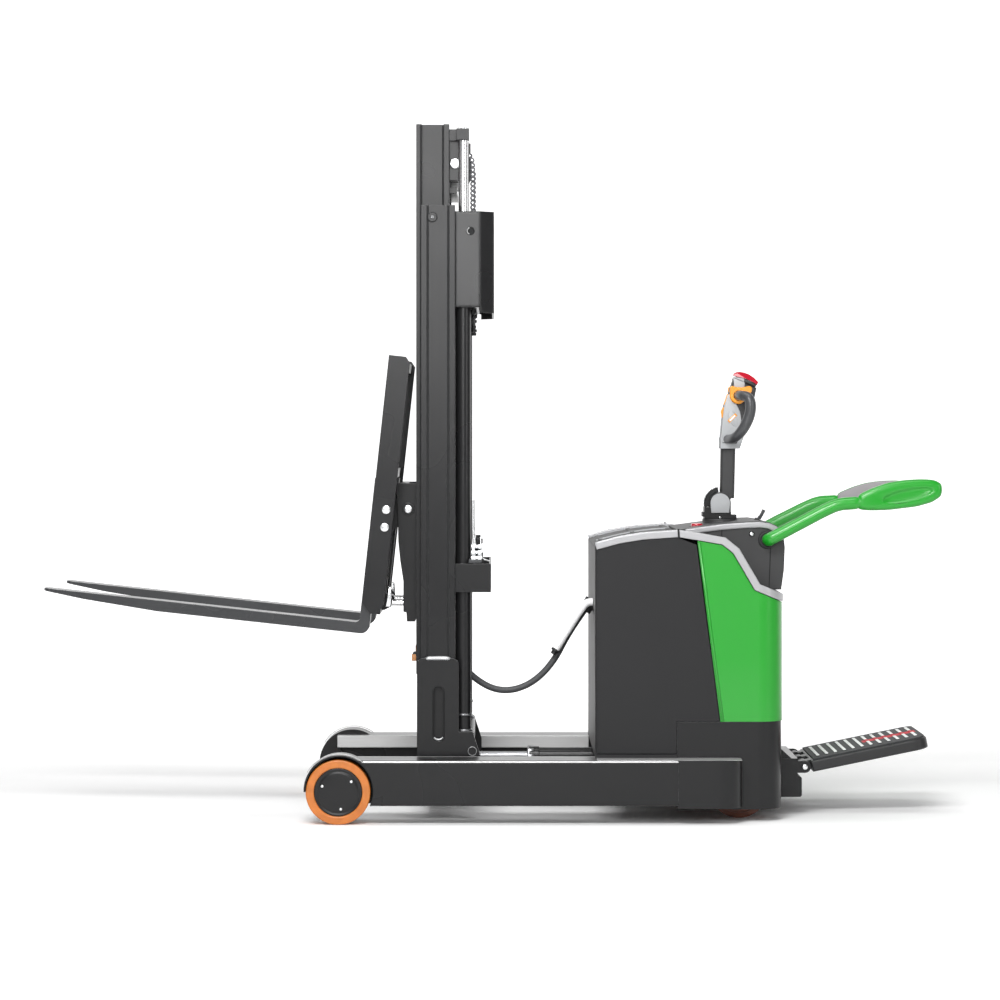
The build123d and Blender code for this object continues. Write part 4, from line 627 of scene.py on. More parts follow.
class STACKER_OT_chains(bpy.types.Operator):
    """Makes the leaf chains link by link, from the anchors over the pulleys to the carriage"""

    bl_idname = "stacker.chains"
    bl_label = "Lift chains"

    pulley = (-125.0, 2158.0)
    radius = 58.0
    chain_y = 190.0
    anchor_z = 1720.0
    carriage_z = 800.0
    plate_round = 8.6
    plate_waist = 4.6
    plate_thick = 1.9
    # Where the plates of a wide and of a narrow link begin, across the chain
    wide_link = (-6.6, -1.0, 4.6)
    narrow_link = (-4.6, 2.6)
    half_pin = 8.0
    pin = [(2.4, 0), (3.4, 0.8), (3.4, 15.2), (2.4, 16)]
    groove = [
        (26, -12), (50, -12), (52, -10), (52, -8.6), (48.6, -8), (48.6, 8), (52, 8.6), (52, 10), (50, 12), (26, 12),
    ]

    def link_form(self, form, spot, along, y, wide):
        """One link: two or three side plates of a waisted shape."""
        out = Vector((along.z, 0.0, -along.x))
        pitch = bpy.context.scene.stacker_sizes.chain_pitch / MM
        plate = []
        for end, start, waist in ((pitch, -100, self.plate_waist), (0.0, 80, -self.plate_waist)):
            plate += arc(end, 0, self.plate_round, start, start + 200, 5) + [(pitch / 2, waist)]
        flat = [spot + (along * a + out * b) * MM for a, b in plate]
        for low in self.wide_link if wide else self.narrow_link:
            depths = (y + low, y + low + self.plate_thick)
            skin_form(form, [[place + point(0, depth, 0) for place in flat] for depth in depths])

    def strand(self, name, spots):
        """Both chains along one stretch, through the places of the pins: their plates, and their pins."""
        links, pins = [], []
        for y in (-self.chain_y, self.chain_y):
            for index, (spot, after) in enumerate(zip(spots, spots[1:])):
                links.append((self.link_form, spot, (after - spot).normalized(), y, index % 2))
                pins.append((turned_form, spot + point(0, y - self.half_pin, 0), OUT, self.pin, 10))
        pieces = [
            single(f"chain_{name}", "chain", None, *links, slot="chain_steel"),
            single(f"chain_pins_{name}", "zinc", None, *pins, slot="chain_steel"),
        ]
        for piece in pieces:
            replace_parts(piece, "lift_chains")
        return pieces

    def execute(self, context):
        pitch = context.scene.stacker_sizes.chain_pitch / MM
        x, z = self.pulley
        turns = round(math.pi * self.radius / pitch)
        for piece in self.strand("over_pulleys", at_depth(arc(x, z, self.radius, 0, 180, turns), 0)):
            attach(piece, "inner_mast")
        discs = [(turned_form, point(x, y, z), OUT, self.groove, 64) for y in (-self.chain_y, self.chain_y)]
        pulleys = single("grooved_pulleys", "casting", "chain_pulleys", *discs, slot="roller_steel")
        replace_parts(pulleys, "chain_pulleys")
        for name, across, low, body in (
            ("rear_strands", x + self.radius, self.anchor_z, "outer_mast"),
            ("front_strands", x - self.radius, self.carriage_z, "carriage"),
        ):
            count = round((z - low) / pitch)
            pins = [point(across, 0, low + (z - low) * i / count) for i in range(count + 1)]
            for piece in self.strand(name, pins):
                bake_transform(piece)
        return {"FINISHED"}


class STACKER_OT_arms(bpy.types.Operator):
    """Makes the side arms: bent tube running into a moulded paddle, and the pad inside"""

    bl_idname = "stacker.arms"
    bl_label = "Side arms"

    steps = 96
    middle = (1352.0, 1061.0)
    # A length that goes from the middle past any point of the edge
    past_edge = 300.0
    # The ring's places are spread along the paddle's length
    stretch = 2.4
    lean = math.radians(6)
    arm_y = 346.0
    tube_radius = 0.018
    recess = (9.0, 1.4)
    recess_lean = math.radians(12)
    # Length, width and depth of the rings that go down into the finger recess
    recess_rings = ((176, 46, 18.5), (170, 41, 17.6), (160, 33, 12.6), (152, 27, 11.2), (110, 14, 10.8))
    half_thick = 18.0
    edge_round = 13.0
    rim = (19, 18.4)
    # Distance from the paddle's edge and depth of the rings round the pad's skin
    pad_rings = (
        (6, -11.0), (2.5, -12.5), (1, -15.0), (1, -18.0), (3, -21.0), (8, -23.4), (15, -25.0), (21, -26.0),
    )
    pad_middle = (90, 10, -26.6)
    # The right arm hangs a little lower than the left one: drop in metres for each metre from its root
    root_x = 0.98
    play = {"left": 0.0, "right": 0.029}

    def outline(self):
        """The paddle's edge as a smooth ring of places round its middle."""
        edge = [Vector(spot) - Vector(self.middle) for spot in PADDLE]
        ring = []
        for across, up in circle(self.past_edge, self.steps):
            aim = Vector((self.stretch * across, up))
            aim.rotate(Matrix.Rotation(self.lean, 2))
            hits = [intersect_line_line_2d((0, 0), aim, *side) for side in zip(edge, edge[1:] + edge[:1])]
            ring.append(next(hit for hit in hits if hit is not None))
        return self.relaxed(ring, 3)

    def relaxed(self, ring, times):
        """The ring with each place drawn towards its neighbours."""
        for _ in range(times):
            ring = [(ring[i - 1] + ring[i] * 2 + ring[(i + 1) % self.steps]) / 4 for i in range(self.steps)]
        return ring

    def inset(self, edge, distance, depth):
        """The paddle's edge moved inwards, at a depth."""
        ring = []
        for index, spot in enumerate(edge):
            run = edge[(index + 1) % self.steps] - edge[index - 1]
            ring.append(spot - Vector((run.y, -run.x)).normalized() * distance)
        return [(spot, depth) for spot in self.relaxed(ring, round(distance / 2))]

    def oval(self, length, width, depth):
        """An oval ring with as many places as the outline, tilted as the finger recess is."""
        ring = []
        for across, up in circle(0.5, self.steps):
            spot = Vector((across * length, up * width))
            spot.rotate(Matrix.Rotation(self.recess_lean, 2))
            ring.append((spot + Vector(self.recess), depth))
        return ring

    def tube_size(self, t):
        """The tube swells past its root and runs thinner into the paddle."""
        return 1.0 + 0.17 * ramp(t, 0.09, 0.14) - 0.4 * ramp(t, 0.94, 0.98)

    def paddle_form(self, form, rings):
        """Adds a closed skin through rings of places and depths."""
        x, z = self.middle
        skin = []
        for ring in rings:
            skin.append([point(x + spot.x, self.arm_y + depth, z + spot.y) for spot, depth in ring])
        skin_form(form, skin)

    def hang(self, form, hand, side):
        """Sets an arm or its pad on its own side and lowers it by the play there, more towards the paddle's end."""
        for corner in form.verts:
            corner.co.y *= side
            corner.co.z -= self.play[hand] * max(0.0, corner.co.x - self.root_x)
        form.normal_update()

    def execute(self, context):
        edge = self.outline()
        paddle = []
        for across, up in arc(0, 0, 1, -90, 90, 10):
            paddle.append(self.inset(edge, self.edge_round * (1 - across), self.half_thick * up))
        paddle.append(self.inset(edge, *self.rim))
        paddle += [self.oval(*ring) for ring in self.recess_rings]
        foam = [self.inset(edge, *ring) for ring in self.pad_rings] + [self.oval(*self.pad_middle)]
        tube = (tube_form, smooth_line([point(*spot) for spot in ARM_ROUTE], 8), self.tube_radius, 24, self.tube_size)
        for hand, side in LEFT_RIGHT:
            body = f"arm_{hand}"
            hung = (self.hang, hand, side)
            arm = single(f"side_arm_{hand}", "arms", body, (self.paddle_form, paddle), tube, hung, slot="arm_green")
            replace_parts(arm, body)
            pad = single(f"arm_pad_{hand}", "foam", body, (self.paddle_form, foam), hung)
        return {"FINISHED"}


class STACKER_OT_platform_mat(bpy.types.Operator):
    """Makes the platform's mat: a sheet with round outer corners and a row of ribs across it"""

    bl_idname = "stacker.platform_mat"
    bl_label = "Platform mat"

    ribs = 12
    first_rib = 56.0
    rib_pitch = 30.3
    rib_end = 152.0
    rib_round = 5.0

    def execute(self, context):
        sheet = arc(374, 166, 40, 0, 90, 15) + [(34, 206), (34, -206)] + arc(374, -166, 40, -90, 0, 15)
        shapes = [(slab_form, sheet, -19, -14, 1.5)]
        for rib in range(self.ribs):
            along = self.first_rib + self.rib_pitch * rib
            outline = arc(along, self.rib_end, self.rib_round, 0, 180, 16)
            outline += arc(along, -self.rib_end, self.rib_round, 180, 360, 16)
            shapes.append((slab_form, outline, -21.5, -18.5, 0.7))
        form = shaped(shapes)
        # From the sheet lying flat to its place on the raised deck
        rise, fall = math.sin(DECK_RISE), math.cos(DECK_RISE)
        rows = ((fall, rise, 0, DECK_HINGE[0] * MM), (0, 0, 1, 0), (rise, -fall, 0, DECK_HINGE[1] * MM), (0, 0, 0, 1))
        form.transform(Matrix(rows))
        mat = place_piece("ribbed_mat", form, "mat", "platform")
        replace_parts(mat, "platform_mat")
        return {"FINISHED"}


class STACKER_OT_wheel_faces(bpy.types.Operator):
    """Makes the dished face plate and the screws of each load wheel"""

    bl_idname = "stacker.wheel_faces"
    bl_label = "Load wheel faces"

    centre = (-499.0, 105.0)
    face_y = 532.0
    dish = [
        (77.4, -1), (77.4, 1.5), (75, 2.6), (72, 2.0), (69, 0.6), (66, 0.6), (63.5, 2.2), (60, 2.8), (0, 3.0),
    ]

    def execute(self, context):
        x, z = self.centre
        plate = (turned_form, point(x, self.face_y, z), OUT, self.dish, 64)
        pair("wheel_face", "steelwork", "load_wheel_{}", plate, slot="hub_paint")
        spots = at_depth(arc(x, z, context.scene.stacker_sizes.screw_circle / MM, 39, 279, 2), self.face_y + 2.5)
        screws = [(turned_form, spot, OUT, dome(4.6, 2.0), 20) for spot in spots]
        pair("wheel_screws", "zinc", "load_wheel_{}", *screws)
        return {"FINISHED"}


class STACKER_OT_fasteners(bpy.types.Operator):
    """Makes the bolt heads and pin ends on both sides"""

    bl_idname = "stacker.fasteners"
    bl_label = "Bolts and pin ends"

    # Name, finish and body, place in mm, radius and height of each head that stands alone
    heads = (
        ("pivot_pin_end", "zinc", "carriage", (-281, 223, 1014), 13.5, 3.0),
        # Painted shade: a dark disc under the cowl bolt for the shadow in its recess
        ("cowl_bolt_recess_shade", "seam", "chassis", (854, 305.2, 933), 10.0, 1.0),
        ("cowl_bolt", "zinc", "chassis", (854, 305.2, 933), 6.2, 2.8),
        ("tiller_bolt", "zinc", "tiller_base", (767, 40, 981), 3.8, 2.4),
        ("platform_pin_end", "zinc", "chassis", (1036, 234, 158), 9.0, 3.0),
        ("roller_axle_end", "turned", "outer_mast", (-198.5, 332, 1976), 6.5, 2.0),
        ("pulley_axle_end", "zinc", "inner_mast", (-125, 261, 2158), 16.5, 2.0),
    )

    def execute(self, context):
        for name, finish, body, place, radius, height in self.heads:
            pair(name, finish, body, (turned_form, point(*place), OUT, dome(radius, height)))
        spots = at_depth([on_frame(-68, -7), on_frame(-67, -65)], 357)
        pair("backrest_bolts", "zinc", "fork_frame", *((turned_form, spot, OUT, dome(14.5, 5.0)) for spot in spots))
        # The ring round the roller's axle end is dark with painted shade for the shadow round it
        axle = point(-198.5, 330.4, 1976)
        washer = (turned_form, axle, OUT, [(17.4, 0), (17.4, 1.2), (14.5, 1.4)])
        pair("roller_axle_ring", "seam", "outer_mast", washer, (turned_form, axle, OUT, dome(14.5, 1.6)))
        spots = [point(x, LIFT_CYLINDER[1], 2270) for x in (-107, -89)]
        pair("clamp_bolts", "zinc", "inner_mast", *((turned_form, spot, UP, dome(6.0, 8.0)) for spot in spots))
        return {"FINISHED"}


class STACKER_OT_tiller_trim(bpy.types.Operator):
    """Makes the tiller's hinge caps, bright shroud, head panels and small buttons"""

    bl_idname = "stacker.tiller_trim"
    bl_label = "Tiller trim"

    hinge = (767.0, 1030.0)
    throttle = (827.0, 1393.0)
    # How far the throttle's edge stands from its axis, by the angle in degrees
    wings = (
        (0, 30), (12, 45), (30, 54), (40, 51), (52, 36), (70, 28), (105, 28), (118, 36), (127, 41), (140, 36),
        (165, 29), (240, 28), (280, 29), (320, 27), (345, 26), (360, 30),
    )
    wing_steps = 72
    bore = 16.2
    grip_radius = 0.017
    grip_route = [
        (827, 42.5, 1393), (827, 104, 1394), (862, 140, 1386), (863, 140, 1330), (836, 136, 1274), (806, 108, 1244),
        (792, 42.5, 1246),
    ]
    panel = [
        (768, 1236), (800, 1232), (826, 1262), (838, 1310), (834, 1338), (818, 1372), (801, 1399), (792, 1395),
        (780, 1356), (774.5, 1310),
    ]
    crown = [(811.6, 1452.9), (814, 1409), (846, 1399), (850, 1436.2)]
    collar = [
        (768, 1214), (833, 1214), (846, 1252), (836, 1252), (822, 1230), (774, 1232), (773, 1252), (767, 1252),
    ]
    # Middle of the lens, and its short and long half axis
    lens = ((810, 1315), (12.22, 4.42), (-9.86, 27.26))
    window = [(798.6, 1300.7), (824.6, 1325.7), (817.4, 1333.3), (791.4, 1308.3)]
    window_core = [(801, 1306), (819, 1323.5), (815, 1327.5), (797, 1310)]
    cap = [
        (891, 1428), (880, 1437), (868, 1444.5), (854, 1450), (839, 1454), (824, 1456.5), (811.5, 1460.6),
        (811.2, 1463), (814.5, 1468), (822, 1472), (834, 1473.5), (849, 1471), (865, 1465), (882, 1453.5),
        (896, 1438),
    ]
    # The crown starts on a line that falls towards the operator, and leans in by a share for each mm above it
    crown_start = (811, 1462)
    crown_fall = 0.29
    crown_lean = 0.02
    # The soft skirt under the cap gives way as the cap is pressed
    skirts = (
        ("front", "pale", [(848, 1451.5), (839, 1453.5), (824, 1455.5), (813.5, 1455), (816, 1452.5), (848, 1438.5)]),
        ("rear", "cowl", [(888.5, 1428), (880, 1436.5), (868, 1444), (848, 1451.5), (848, 1438.5), (886, 1422)]),
    )

    def winged_ring(self, form, side):
        """The throttle's winged ring round the root of one grip."""
        steps = self.wing_steps
        edge = []
        for step in range(steps):
            angle = 360 * step / steps
            for (low, near), (high, far) in zip(self.wings, self.wings[1:]):
                if low <= angle <= high:
                    edge.append(near + (far - near) * (angle - low) / (high - low))
                    break
        edge = [(edge[i - 1] + 2 * edge[i] + edge[(i + 1) % steps]) / 4 for i in range(steps)]
        bore = [self.bore] * steps
        rings = []
        for radii, inset, y in (
            (bore, 0, 45), (edge, 2, 45), (edge, 0, 47), (edge, 0, 55), (edge, 4, 59), (bore, 0, 59),
        ):
            ring = []
            for radius, (across, up) in zip(radii, circle(1, steps)):
                reach = radius - inset
                ring.append(point(self.throttle[0] + reach * across, side * y, self.throttle[1] + reach * up))
            rings.append(ring)
        skin_form(form, rings, closed=True)

    def grip_size(self, t):
        """The grip is fullest half way along."""
        return 0.88 + 0.2 * math.sin(math.pi * t)

    def slope_crown(self, form):
        """Slopes the cap's crown in from both sides."""
        x, z = self.crown_start
        for corner in form.verts:
            height = corner.co.z / MM - z + self.crown_fall * (corner.co.x / MM - x)
            corner.co.y *= 1 - self.crown_lean * max(0.0, height)

    def execute(self, context):
        x, z = self.hinge
        rings = ((self.winged_ring, -1), (self.winged_ring, 1))
        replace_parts(single("throttle_rings", "orange", "throttle", *rings, slot="control_orange"), "throttle")
        route = smooth_line([point(*spot) for spot in self.grip_route], 8)
        tube = (tube_form, route, self.grip_radius, 24, self.grip_size)
        for grip in pair("grip", "grip", "tiller", tube, slot="grip_plastic"):
            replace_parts(grip, "tiller_grips")
        cheek = arc(x, z, 33, -8, 188, 24) + [(x - 30, z - 33), (x + 30, z - 33)]
        pair("hinge_cap", "pale", "tiller_base", (slab_form, cheek, 40.2, 46, 1.6))
        pair(
            "head_panel", "pale", "tiller",
            (slab_form, self.panel, 41.0, 44.6, 1.8),
            (slab_form, self.crown, 41.0, 44.0, 1.0),
            (slab_form, self.collar, 41.0, 43.6, 1.0),
        )
        middle, short, long = (Vector(spot) for spot in self.lens)
        lens = [middle + short * a + long * b for a, b in circle(1, 28)]
        pair("head_lens", "pale", "tiller", (slab_form, lens, 44.2, 45.4, 0.5))
        pair("head_window", "orange", "tiller", (slab_form, self.window, 45.0, 46.4, 0.5), slot="control_orange")
        pair("head_window_core", "conduit", "tiller", (slab_form, self.window_core, 46, 47.2, 0.4))
        shroud = bent(arc(x, z, 54.5, 104, 192, 16), 0.0, -1.8)
        single("hinge_shroud", "zinc", "tiller_base", (slab_form, shroud, -39, 39, 0.4))
        shapes = ((slab_form, self.cap, -44.5, 44.5, 2.0), (self.slope_crown,))
        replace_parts(single("belly_cap", "red", "belly_button", *shapes, slot="control_red"), "belly_button")
        for name, finish, outline in self.skirts:
            skirt = single(f"cap_skirt_{name}", finish, None, (slab_form, outline, -41, 41, 0.8))
            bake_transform(skirt)
        bow = [(891, 981), (899, 976), (916, 1006), (906, 1011)]
        single("key_bow", "grip", "key", (slab_form, bow, -102, -78, 2.0))
        strips = (bent([(784, 1362), (797, 1398)], -3.0, 4.0), bent([(869, 1336), (881, 1378)], -4.0, 3.0))
        shapes = [(slab_form, strip, -20, 20, 1.2) for strip in strips]
        single("head_strips", "orange", "tiller", *shapes, slot="control_orange")
        return {"FINISHED"}


class STACKER_OT_body_trim(bpy.types.Operator):
    """Makes the body's seams of painted shade, cover bead, arm grommets, lid bars, and the strips of painted
    highlight on the leg edges, steps and lid
    """

    bl_idname = "stacker.body_trim"
    bl_label = "Body trim"

    lid = [(350, 901), (400, 914), (470, 929.5), (540, 938.5), (597, 942)]
    grommet = [(18.4, 0), (30, 0), (30, 1.5), (28, 4.5), (23, 5.5), (21.6, 4)]

    def execute(self, context):
        pair(
            "seams", "seam", "chassis",
            (slab_form, oblong(753.5, 756.5, 914, 957), 305, 305.6, 0),
            (slab_form, [(916, 930), (919, 930), (912, 745), (909, 745)], 305, 305.6, 0),
            (slab_form, [(601, 954), (607.5, 954), (610, 922), (603, 922)], 453.6, 454.6, 0),
        )
        bead = [(669, 908), (678, 907), (754, 328), (745, 328)]
        pair("cover_bead", "cover", "chassis", (slab_form, bead, 449.6, 451.2, 0.8), slot="cover_green")
        pair("arm_grommet", "rubber", "chassis", (turned_form, point(905, 305, 914), OUT, self.grommet, 40))
        # Painted highlights: bright steel lines along the legs' top outer edges and round the wheel guards' rims
        edge = [point(x, 538.8, 201.8) for x in range(-418, 603, 20)]
        guard = at_depth(arc(-495, 111, 119, 20, 150, 24), 543.2)
        edge_highlights = ((tube_form, edge, 0.0052, 14), (tube_form, guard, 0.0012, 8))
        pair("leg_edge_highlight", "rail", "chassis", *edge_highlights, slot="rail_steel")
        # Painted highlight: a bright steel strip along the top of each side step
        step = (slab_form, oblong(338, 806, 208.2, 209.6), 456, 540, 0.4)
        pair("step_highlight_strip", "rail", "chassis", step, slot="rail_steel")
        # Painted highlights: pale strips along the lid's top edges
        rim = bent(self.lid, -1.0, 5.0)
        sides = ((-420, -404), (404, 420), (-9, 9))
        single("lid_edge_highlight", "pale", "chassis", *((slab_form, rim, low, high, 1.5) for low, high in sides))
        bars = []
        for x, z in ((362, 905), (470, 930), (588, 942)):
            bar = [(x - 7, z - 4), (x + 7, z - 2), (x + 6, z + 5), (x - 6, z + 3)]
            bars.append((slab_form, bar, -410, 410, 1.2))
        single("lid_bars", "lid", "chassis", *bars)
        return {"FINISHED"}


class STACKER_OT_mast_fittings(bpy.types.Operator):
    """Makes the mast's nuts, rings, weld beads, stops and hydraulic fittings"""

    bl_idname = "stacker.mast_fittings"
    bl_label = "Mast fittings"

    foot_face = 346.2
    # The weld over each foot droops at both ends and wanders a little up and down
    weld_start = (-244.0, 341.0, 525.0)
    weld_steps = 40
    weld_step = 3.2
    weld_droop = 9.0
    weld_wander = 0.9
    weld_ripples = 126
    eye = (-73.0, 1931.0)
    eye_y = 324.0
    rod = [
        (0, 612), (19, 612), (19.6, 614), (19.6, 640), (16, 642),
        (16, LIFT_ROD_TOP - 1), (15, LIFT_ROD_TOP), (0, LIFT_ROD_TOP),
    ]
    # Height, profile and number of sides of the rings round each lift cylinder
    cylinder_rings = (
        (334, [(27.2, 1), (28.0, 2), (28.0, 6), (27.2, 7)], 36),
        (281, [(31, 0), (31, 6), (28, 9), (26, 9)], 36),
        (1880, [(27.6, 0), (28.6, 2), (28.6, 30), (26, 34)], 6),
    )
    keeper = [(-357, 688), (-341, 688), (-337, 722), (-339, 754), (-347, 754), (-350, 722)]
    valve_y = -314.0
    pipe = ((-58, 892), (-62, 915), (-64, 960), (-64, 1045))

    def bead(self, t):
        """The foot's weld: thin at both ends, full in the middle, with the welder's ripples."""
        return 0.3 + 0.6 * ramp(abs(t - 0.5), 0.34, 0.26) + 0.06 * math.cos(self.weld_ripples * t)

    def channels(self):
        """Painted shade: dark lines in the grooves and corners of the mast's rolled channels."""
        groove_shades = [(slab_form, oblong(x - 2.9, x + 2.9, 535, 2014), 328.1, 329, 0) for x in (-214, -146)]
        pair("channel_groove_shade", "seam", "outer_mast", *groove_shades)
        corners = []
        for x, face in ((-241, INNER_FACE), (-168, INNER_WEB)):
            corners.append((slab_form, oblong(x, x + 5.8, 480, 2284), face - 0.4, face + 0.5, 0))
        pair("inner_corner_shade", "seam", "inner_mast", *corners)

    def feet(self):
        """Welds and rims on the mast's feet: the rim round each slot is dark with painted shade, and the bright arc
        at the slot's bottom is a painted highlight.
        """
        x, y, z = self.weld_start
        weld = []
        for i in range(self.weld_steps + 1):
            drop = self.weld_droop * abs(2 * i / self.weld_steps - 1) ** 4
            weld.append(point(x + self.weld_step * i, y, z - drop + self.weld_wander * (i % 2)))
        pair("foot_weld", "weld", "outer_mast", (tube_form, weld, 0.0085, 12, self.bead))
        slot = arc(-178, 416, 18, 0, 171, 19) + arc(-178, 277, 18, 180, 360, 20)
        rim = (tube_form, at_depth(slot + slot[:1], self.foot_face), 0.003, 10)
        # Painted shade on the slot's rim
        pair("foot_slot_bead", "seam", "outer_mast", rim)
        pair(
            "foot_welds", "weld", "outer_mast",
            # Painted highlight: a bright arc in weld colour at the slot's bottom
            (tube_form, at_depth(slot[24:37], self.foot_face + 1.2), 0.0034, 10),
            (tube_form, at_depth(arc(-67, 221, 14, 0, 360, 24), self.foot_face + 0.2), 0.001, 8),
        )

    def lifting_eyes(self):
        """Rim, shadow and worn edge of the hole in each side of the upper tie."""
        middle = point(self.eye[0], self.eye_y, self.eye[1])
        rim = [(14, 0), (14, 0.8), (12.8, 1.6), (11.4, 0.8), (11.4, 0.2)]
        pair("eye_rim", "folded", "outer_mast", (turned_form, middle, OUT, rim))
        shadow = [(11.6, 0), (11.4, 0.5), (3, 0.6), (0, 0.6)]
        pair("eye_shadow", "seam", "outer_mast", (turned_form, middle, OUT, shadow))
        worn = at_depth(arc(*self.eye, 11, 110, 250, 10), self.eye_y + 1.2)
        pair("eye_worn_edge", "rail", "outer_mast", (tube_form, worn, 0.0014, 8))

    def cylinders(self):
        """Rings and polished rods of the lift cylinders, and the nuts of the chain anchors."""
        x, y = LIFT_CYLINDER
        rings = [(turned_form, point(x, y, z), UP, ring, steps) for z, ring, steps in self.cylinder_rings]
        pair("cylinder_rings", "turned", "outer_mast", *rings)
        rod = (turned_form, point(x, y, 0), UP, self.rod, 72)
        for piece in pair("polished_rod", "chrome", "inner_mast", rod, slot="rod_chrome"):
            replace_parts(piece, "lift_rods")
        nuts = []
        for z, r in ((1602, 10), (1614, 12), (1646, 12)):
            nuts.append((turned_form, point(-67, 190, z), UP, [(r - 1, 0), (r, 1), (r, 9), (r - 1, 10)], 6))
        pair("anchor_nuts", "chain", "outer_mast", *nuts)

    def valve(self):
        """Valve block with its unions, pipe and bracket, on the left side only."""
        shapes = []
        for z, r in ((854, 9.5), (873, 8.0), (892, 8.0)):
            union = [(r - 1, 0), (r, 1), (r, 14), (r - 2, 15), (r - 2, 21), (r, 22), (r, 34), (r - 1, 35)]
            shapes.append((turned_form, point(-71, self.valve_y, z), (1, 0, 0), union, 18))
        shapes.append((tube_form, smooth_line(at_depth(self.pipe, self.valve_y)), 0.005))
        bracket = bent([(-40, 926), (-39, 858), (-30, 850), (-10, 843)], -1.5, 1.5)
        shapes.append((slab_form, bracket, -304, -268, 0.6))
        single("valve_fittings", "zinc", "outer_mast", *shapes)
        block = [(-80, 838), (-36, 838), (-34, 846), (-44, 852), (-78, 852)]
        single("valve_block", "casting", "outer_mast", (slab_form, block, -322, -262, 2.0))

    def execute(self, context):
        self.channels()
        self.feet()
        self.lifting_eyes()
        self.cylinders()
        self.valve()
        pair("tilt_pin_keeper", "zinc", "fork_frame", (slab_form, self.keeper, 190.2, 193, 1.0))
        pair("bump_stop", "buffer", "inner_mast", (slab_form, oblong(-268, -253, 512, 534), 236, 264, 2))
        stop_cap = [(-266, 533), (-253, 533), (-253, 542), (-263, 542)]
        pair("bump_stop_cap", "rubber", "inner_mast", (slab_form, stop_cap, 238, 262, 2))
        nut = [(22, 0), (32.5, 1), (34, 4), (34, 22), (32.5, 24)]
        single("reach_gland_nut", "turned", "chassis", (turned_form, point(116, 0, 175), (1, 0, 0), nut, 8))
        return {"FINISHED"}


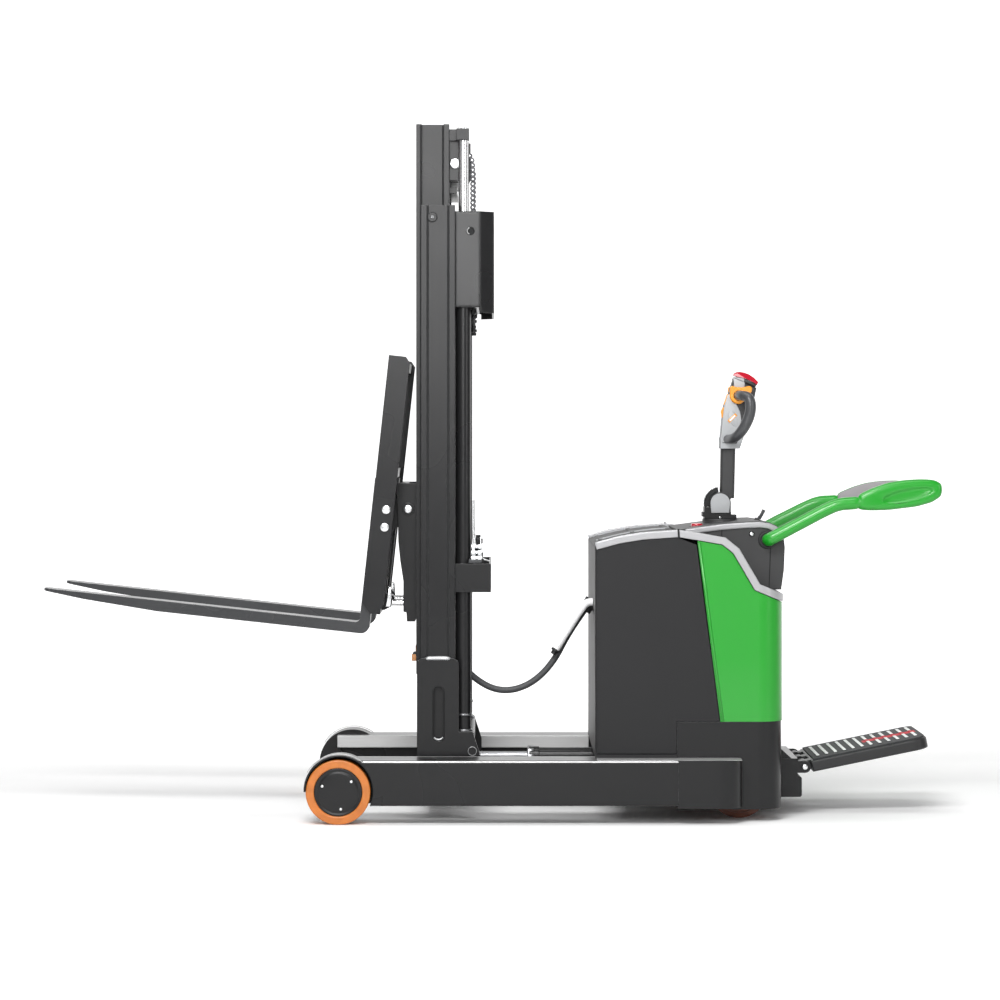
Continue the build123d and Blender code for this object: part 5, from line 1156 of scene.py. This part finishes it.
class STACKER_OT_stage(bpy.types.Operator):
    """Makes the pale floor, the soft lights and the camera at the photograph's place"""

    bl_idname = "stacker.stage"
    bl_label = "Studio"

    # Name, place, aim, size and power of each lamp
    lamps = (
        ("key", (-0.8, -4.8, 4.4), (0.0, -0.2, 0.4), (2.6, 1.2), 270.0),
        ("overhead", (-0.2, -0.6, 5.2), (0.0, -0.2, 0.4), (5.0, 1.6), 120.0),
        ("mast_strip", (-0.3, -8.0, 2.65), (-0.3, 0.0, 1.7), (3.4, 1.8), 165.0),
        ("left_bank", (-5.0, -3.4, 1.0), (0.0, 0.0, 0.5), (2.4, 1.6), 28.0),
        ("right_strip", (4.6, -3.6, 2.4), (0.6, 0.0, 0.8), (1.0, 3.0), 60.0),
    )
    sky_strength = 0.15
    sensor = 36.0
    # Distance from the lens to the picture, and the height of the horizon in it, in the photograph's pixels
    focal_pixels = 3402
    horizon_pixel = 440
    camera_place = (0.024, -11.52, 1.243)

    def make_floor(self, scene):
        """The sweep rises far behind the truck, so that a camera can go all round it."""
        form = bmesh.new()
        bend = [(-60.0, 0.0), (21.0, 0.0), *arc(21.0, 9.0, 9.0, -90, 0, 12)[1:], (30.0, 42.0)]
        rows = [[form.verts.new((x, y, z)) for x in (-78.0, 78.0)] for y, z in bend]
        for low, high in zip(rows, rows[1:]):
            form.faces.new([low[0], low[1], high[1], high[0]]).smooth = True
        mesh = bpy.data.meshes.new("studio_floor")
        form.to_mesh(mesh)
        form.free()
        floor = bpy.data.objects.new("studio_floor", mesh)
        scene.collection.objects.link(floor)
        # Matt white vinyl sweep: no reflections, only soft contact shadows
        sweep, tree, shader, place = begin("white vinyl sweep", "#f6f6f6", 0.9, specular_ior_level=0.1)
        cloth = noise(tree, place, 33.3333, 2.0)
        # Painted light: the far end of the sweep glows white by its own emission, more with distance behind the truck
        depth = add(tree, "SeparateXYZ", {0: place}).outputs["Y"]
        glow = spread(tree, depth, 0.9, 5.0, 0.0, 0.87)
        bump = add(tree, "Bump", {"Strength": 0.02, "Distance": 0.001, "Height": cloth})
        feed(tree, shader, {"Emission Color": WHITE, "Emission Strength": glow, "Normal": bump})
        mesh.materials.append(sweep)

    def execute(self, context):
        scene = context.scene
        self.make_floor(scene)
        scene.world = scene.world or bpy.data.worlds.new("studio")
        scene.world.use_nodes = True
        sky = scene.world.node_tree.nodes["Background"]
        feed(scene.world.node_tree, sky, {"Color": WHITE, "Strength": self.sky_strength})
        for name, spot, aim, size, power in self.lamps:
            data = bpy.data.lights.new(name, "AREA")
            data.shape = "RECTANGLE"
            data.size, data.size_y = size
            data.energy = power
            lamp = bpy.data.objects.new(name, data)
            lamp.location = spot
            lamp.rotation_euler = (Vector(aim) - Vector(spot)).to_track_quat("-Z", "Y").to_euler()
            scene.collection.objects.link(lamp)
        lens = bpy.data.cameras.new("photo_camera")
        lens.sensor_width = self.sensor
        lens.lens = self.sensor * self.focal_pixels / PHOTO_SIZE
        lens.shift_y = (self.horizon_pixel - PHOTO_SIZE / 2) / PHOTO_SIZE
        lens.clip_end = 160.0
        camera = bpy.data.objects.new("photo_camera", lens)
        camera.location = self.camera_place
        camera.rotation_euler = (math.pi / 2, 0.0, 0.0)
        scene.collection.objects.link(camera)
        scene.camera = camera
        scene.view_settings.view_transform = "Standard"
        return {"FINISHED"}


class STACKER_PT_sidebar(bpy.types.Panel):
    """Lists the truck's sizes, colours and makers in the sidebar"""

    bl_idname = "STACKER_PT_sidebar"
    bl_label = "Reach stacker"
    bl_space_type = "VIEW_3D"
    bl_region_type = "UI"
    bl_category = "Stacker"

    def draw(self, context):
        for group in (context.scene.stacker_sizes, context.scene.stacker_colours):
            for name in group.__annotations__:
                self.layout.prop(group, name)
        for maker in MAKERS:
            self.layout.operator(maker.bl_idname)


MAKERS = (
    STACKER_OT_stage,
    STACKER_OT_finishes,
    STACKER_OT_hose,
    STACKER_OT_chains,
    STACKER_OT_arms,
    STACKER_OT_platform_mat,
    STACKER_OT_wheel_faces,
    STACKER_OT_fasteners,
    STACKER_OT_tiller_trim,
    STACKER_OT_body_trim,
    STACKER_OT_mast_fittings,
)
CLASSES = (StackerSizes, StackerColours, *MAKERS, STACKER_PT_sidebar)


def register():
    for item in CLASSES:
        bpy.utils.register_class(item)
    bpy.types.Scene.stacker_sizes = bpy.props.PointerProperty(type=StackerSizes)
    bpy.types.Scene.stacker_colours = bpy.props.PointerProperty(type=StackerColours)


def unregister():
    del bpy.types.Scene.stacker_colours
    del bpy.types.Scene.stacker_sizes
    for item in reversed(CLASSES):
        bpy.utils.unregister_class(item)


def main():
    register()
    for maker in MAKERS:
        group, name = maker.bl_idname.split(".")
        getattr(getattr(bpy.ops, group), name)()


if __name__ == "__main__":
    main()
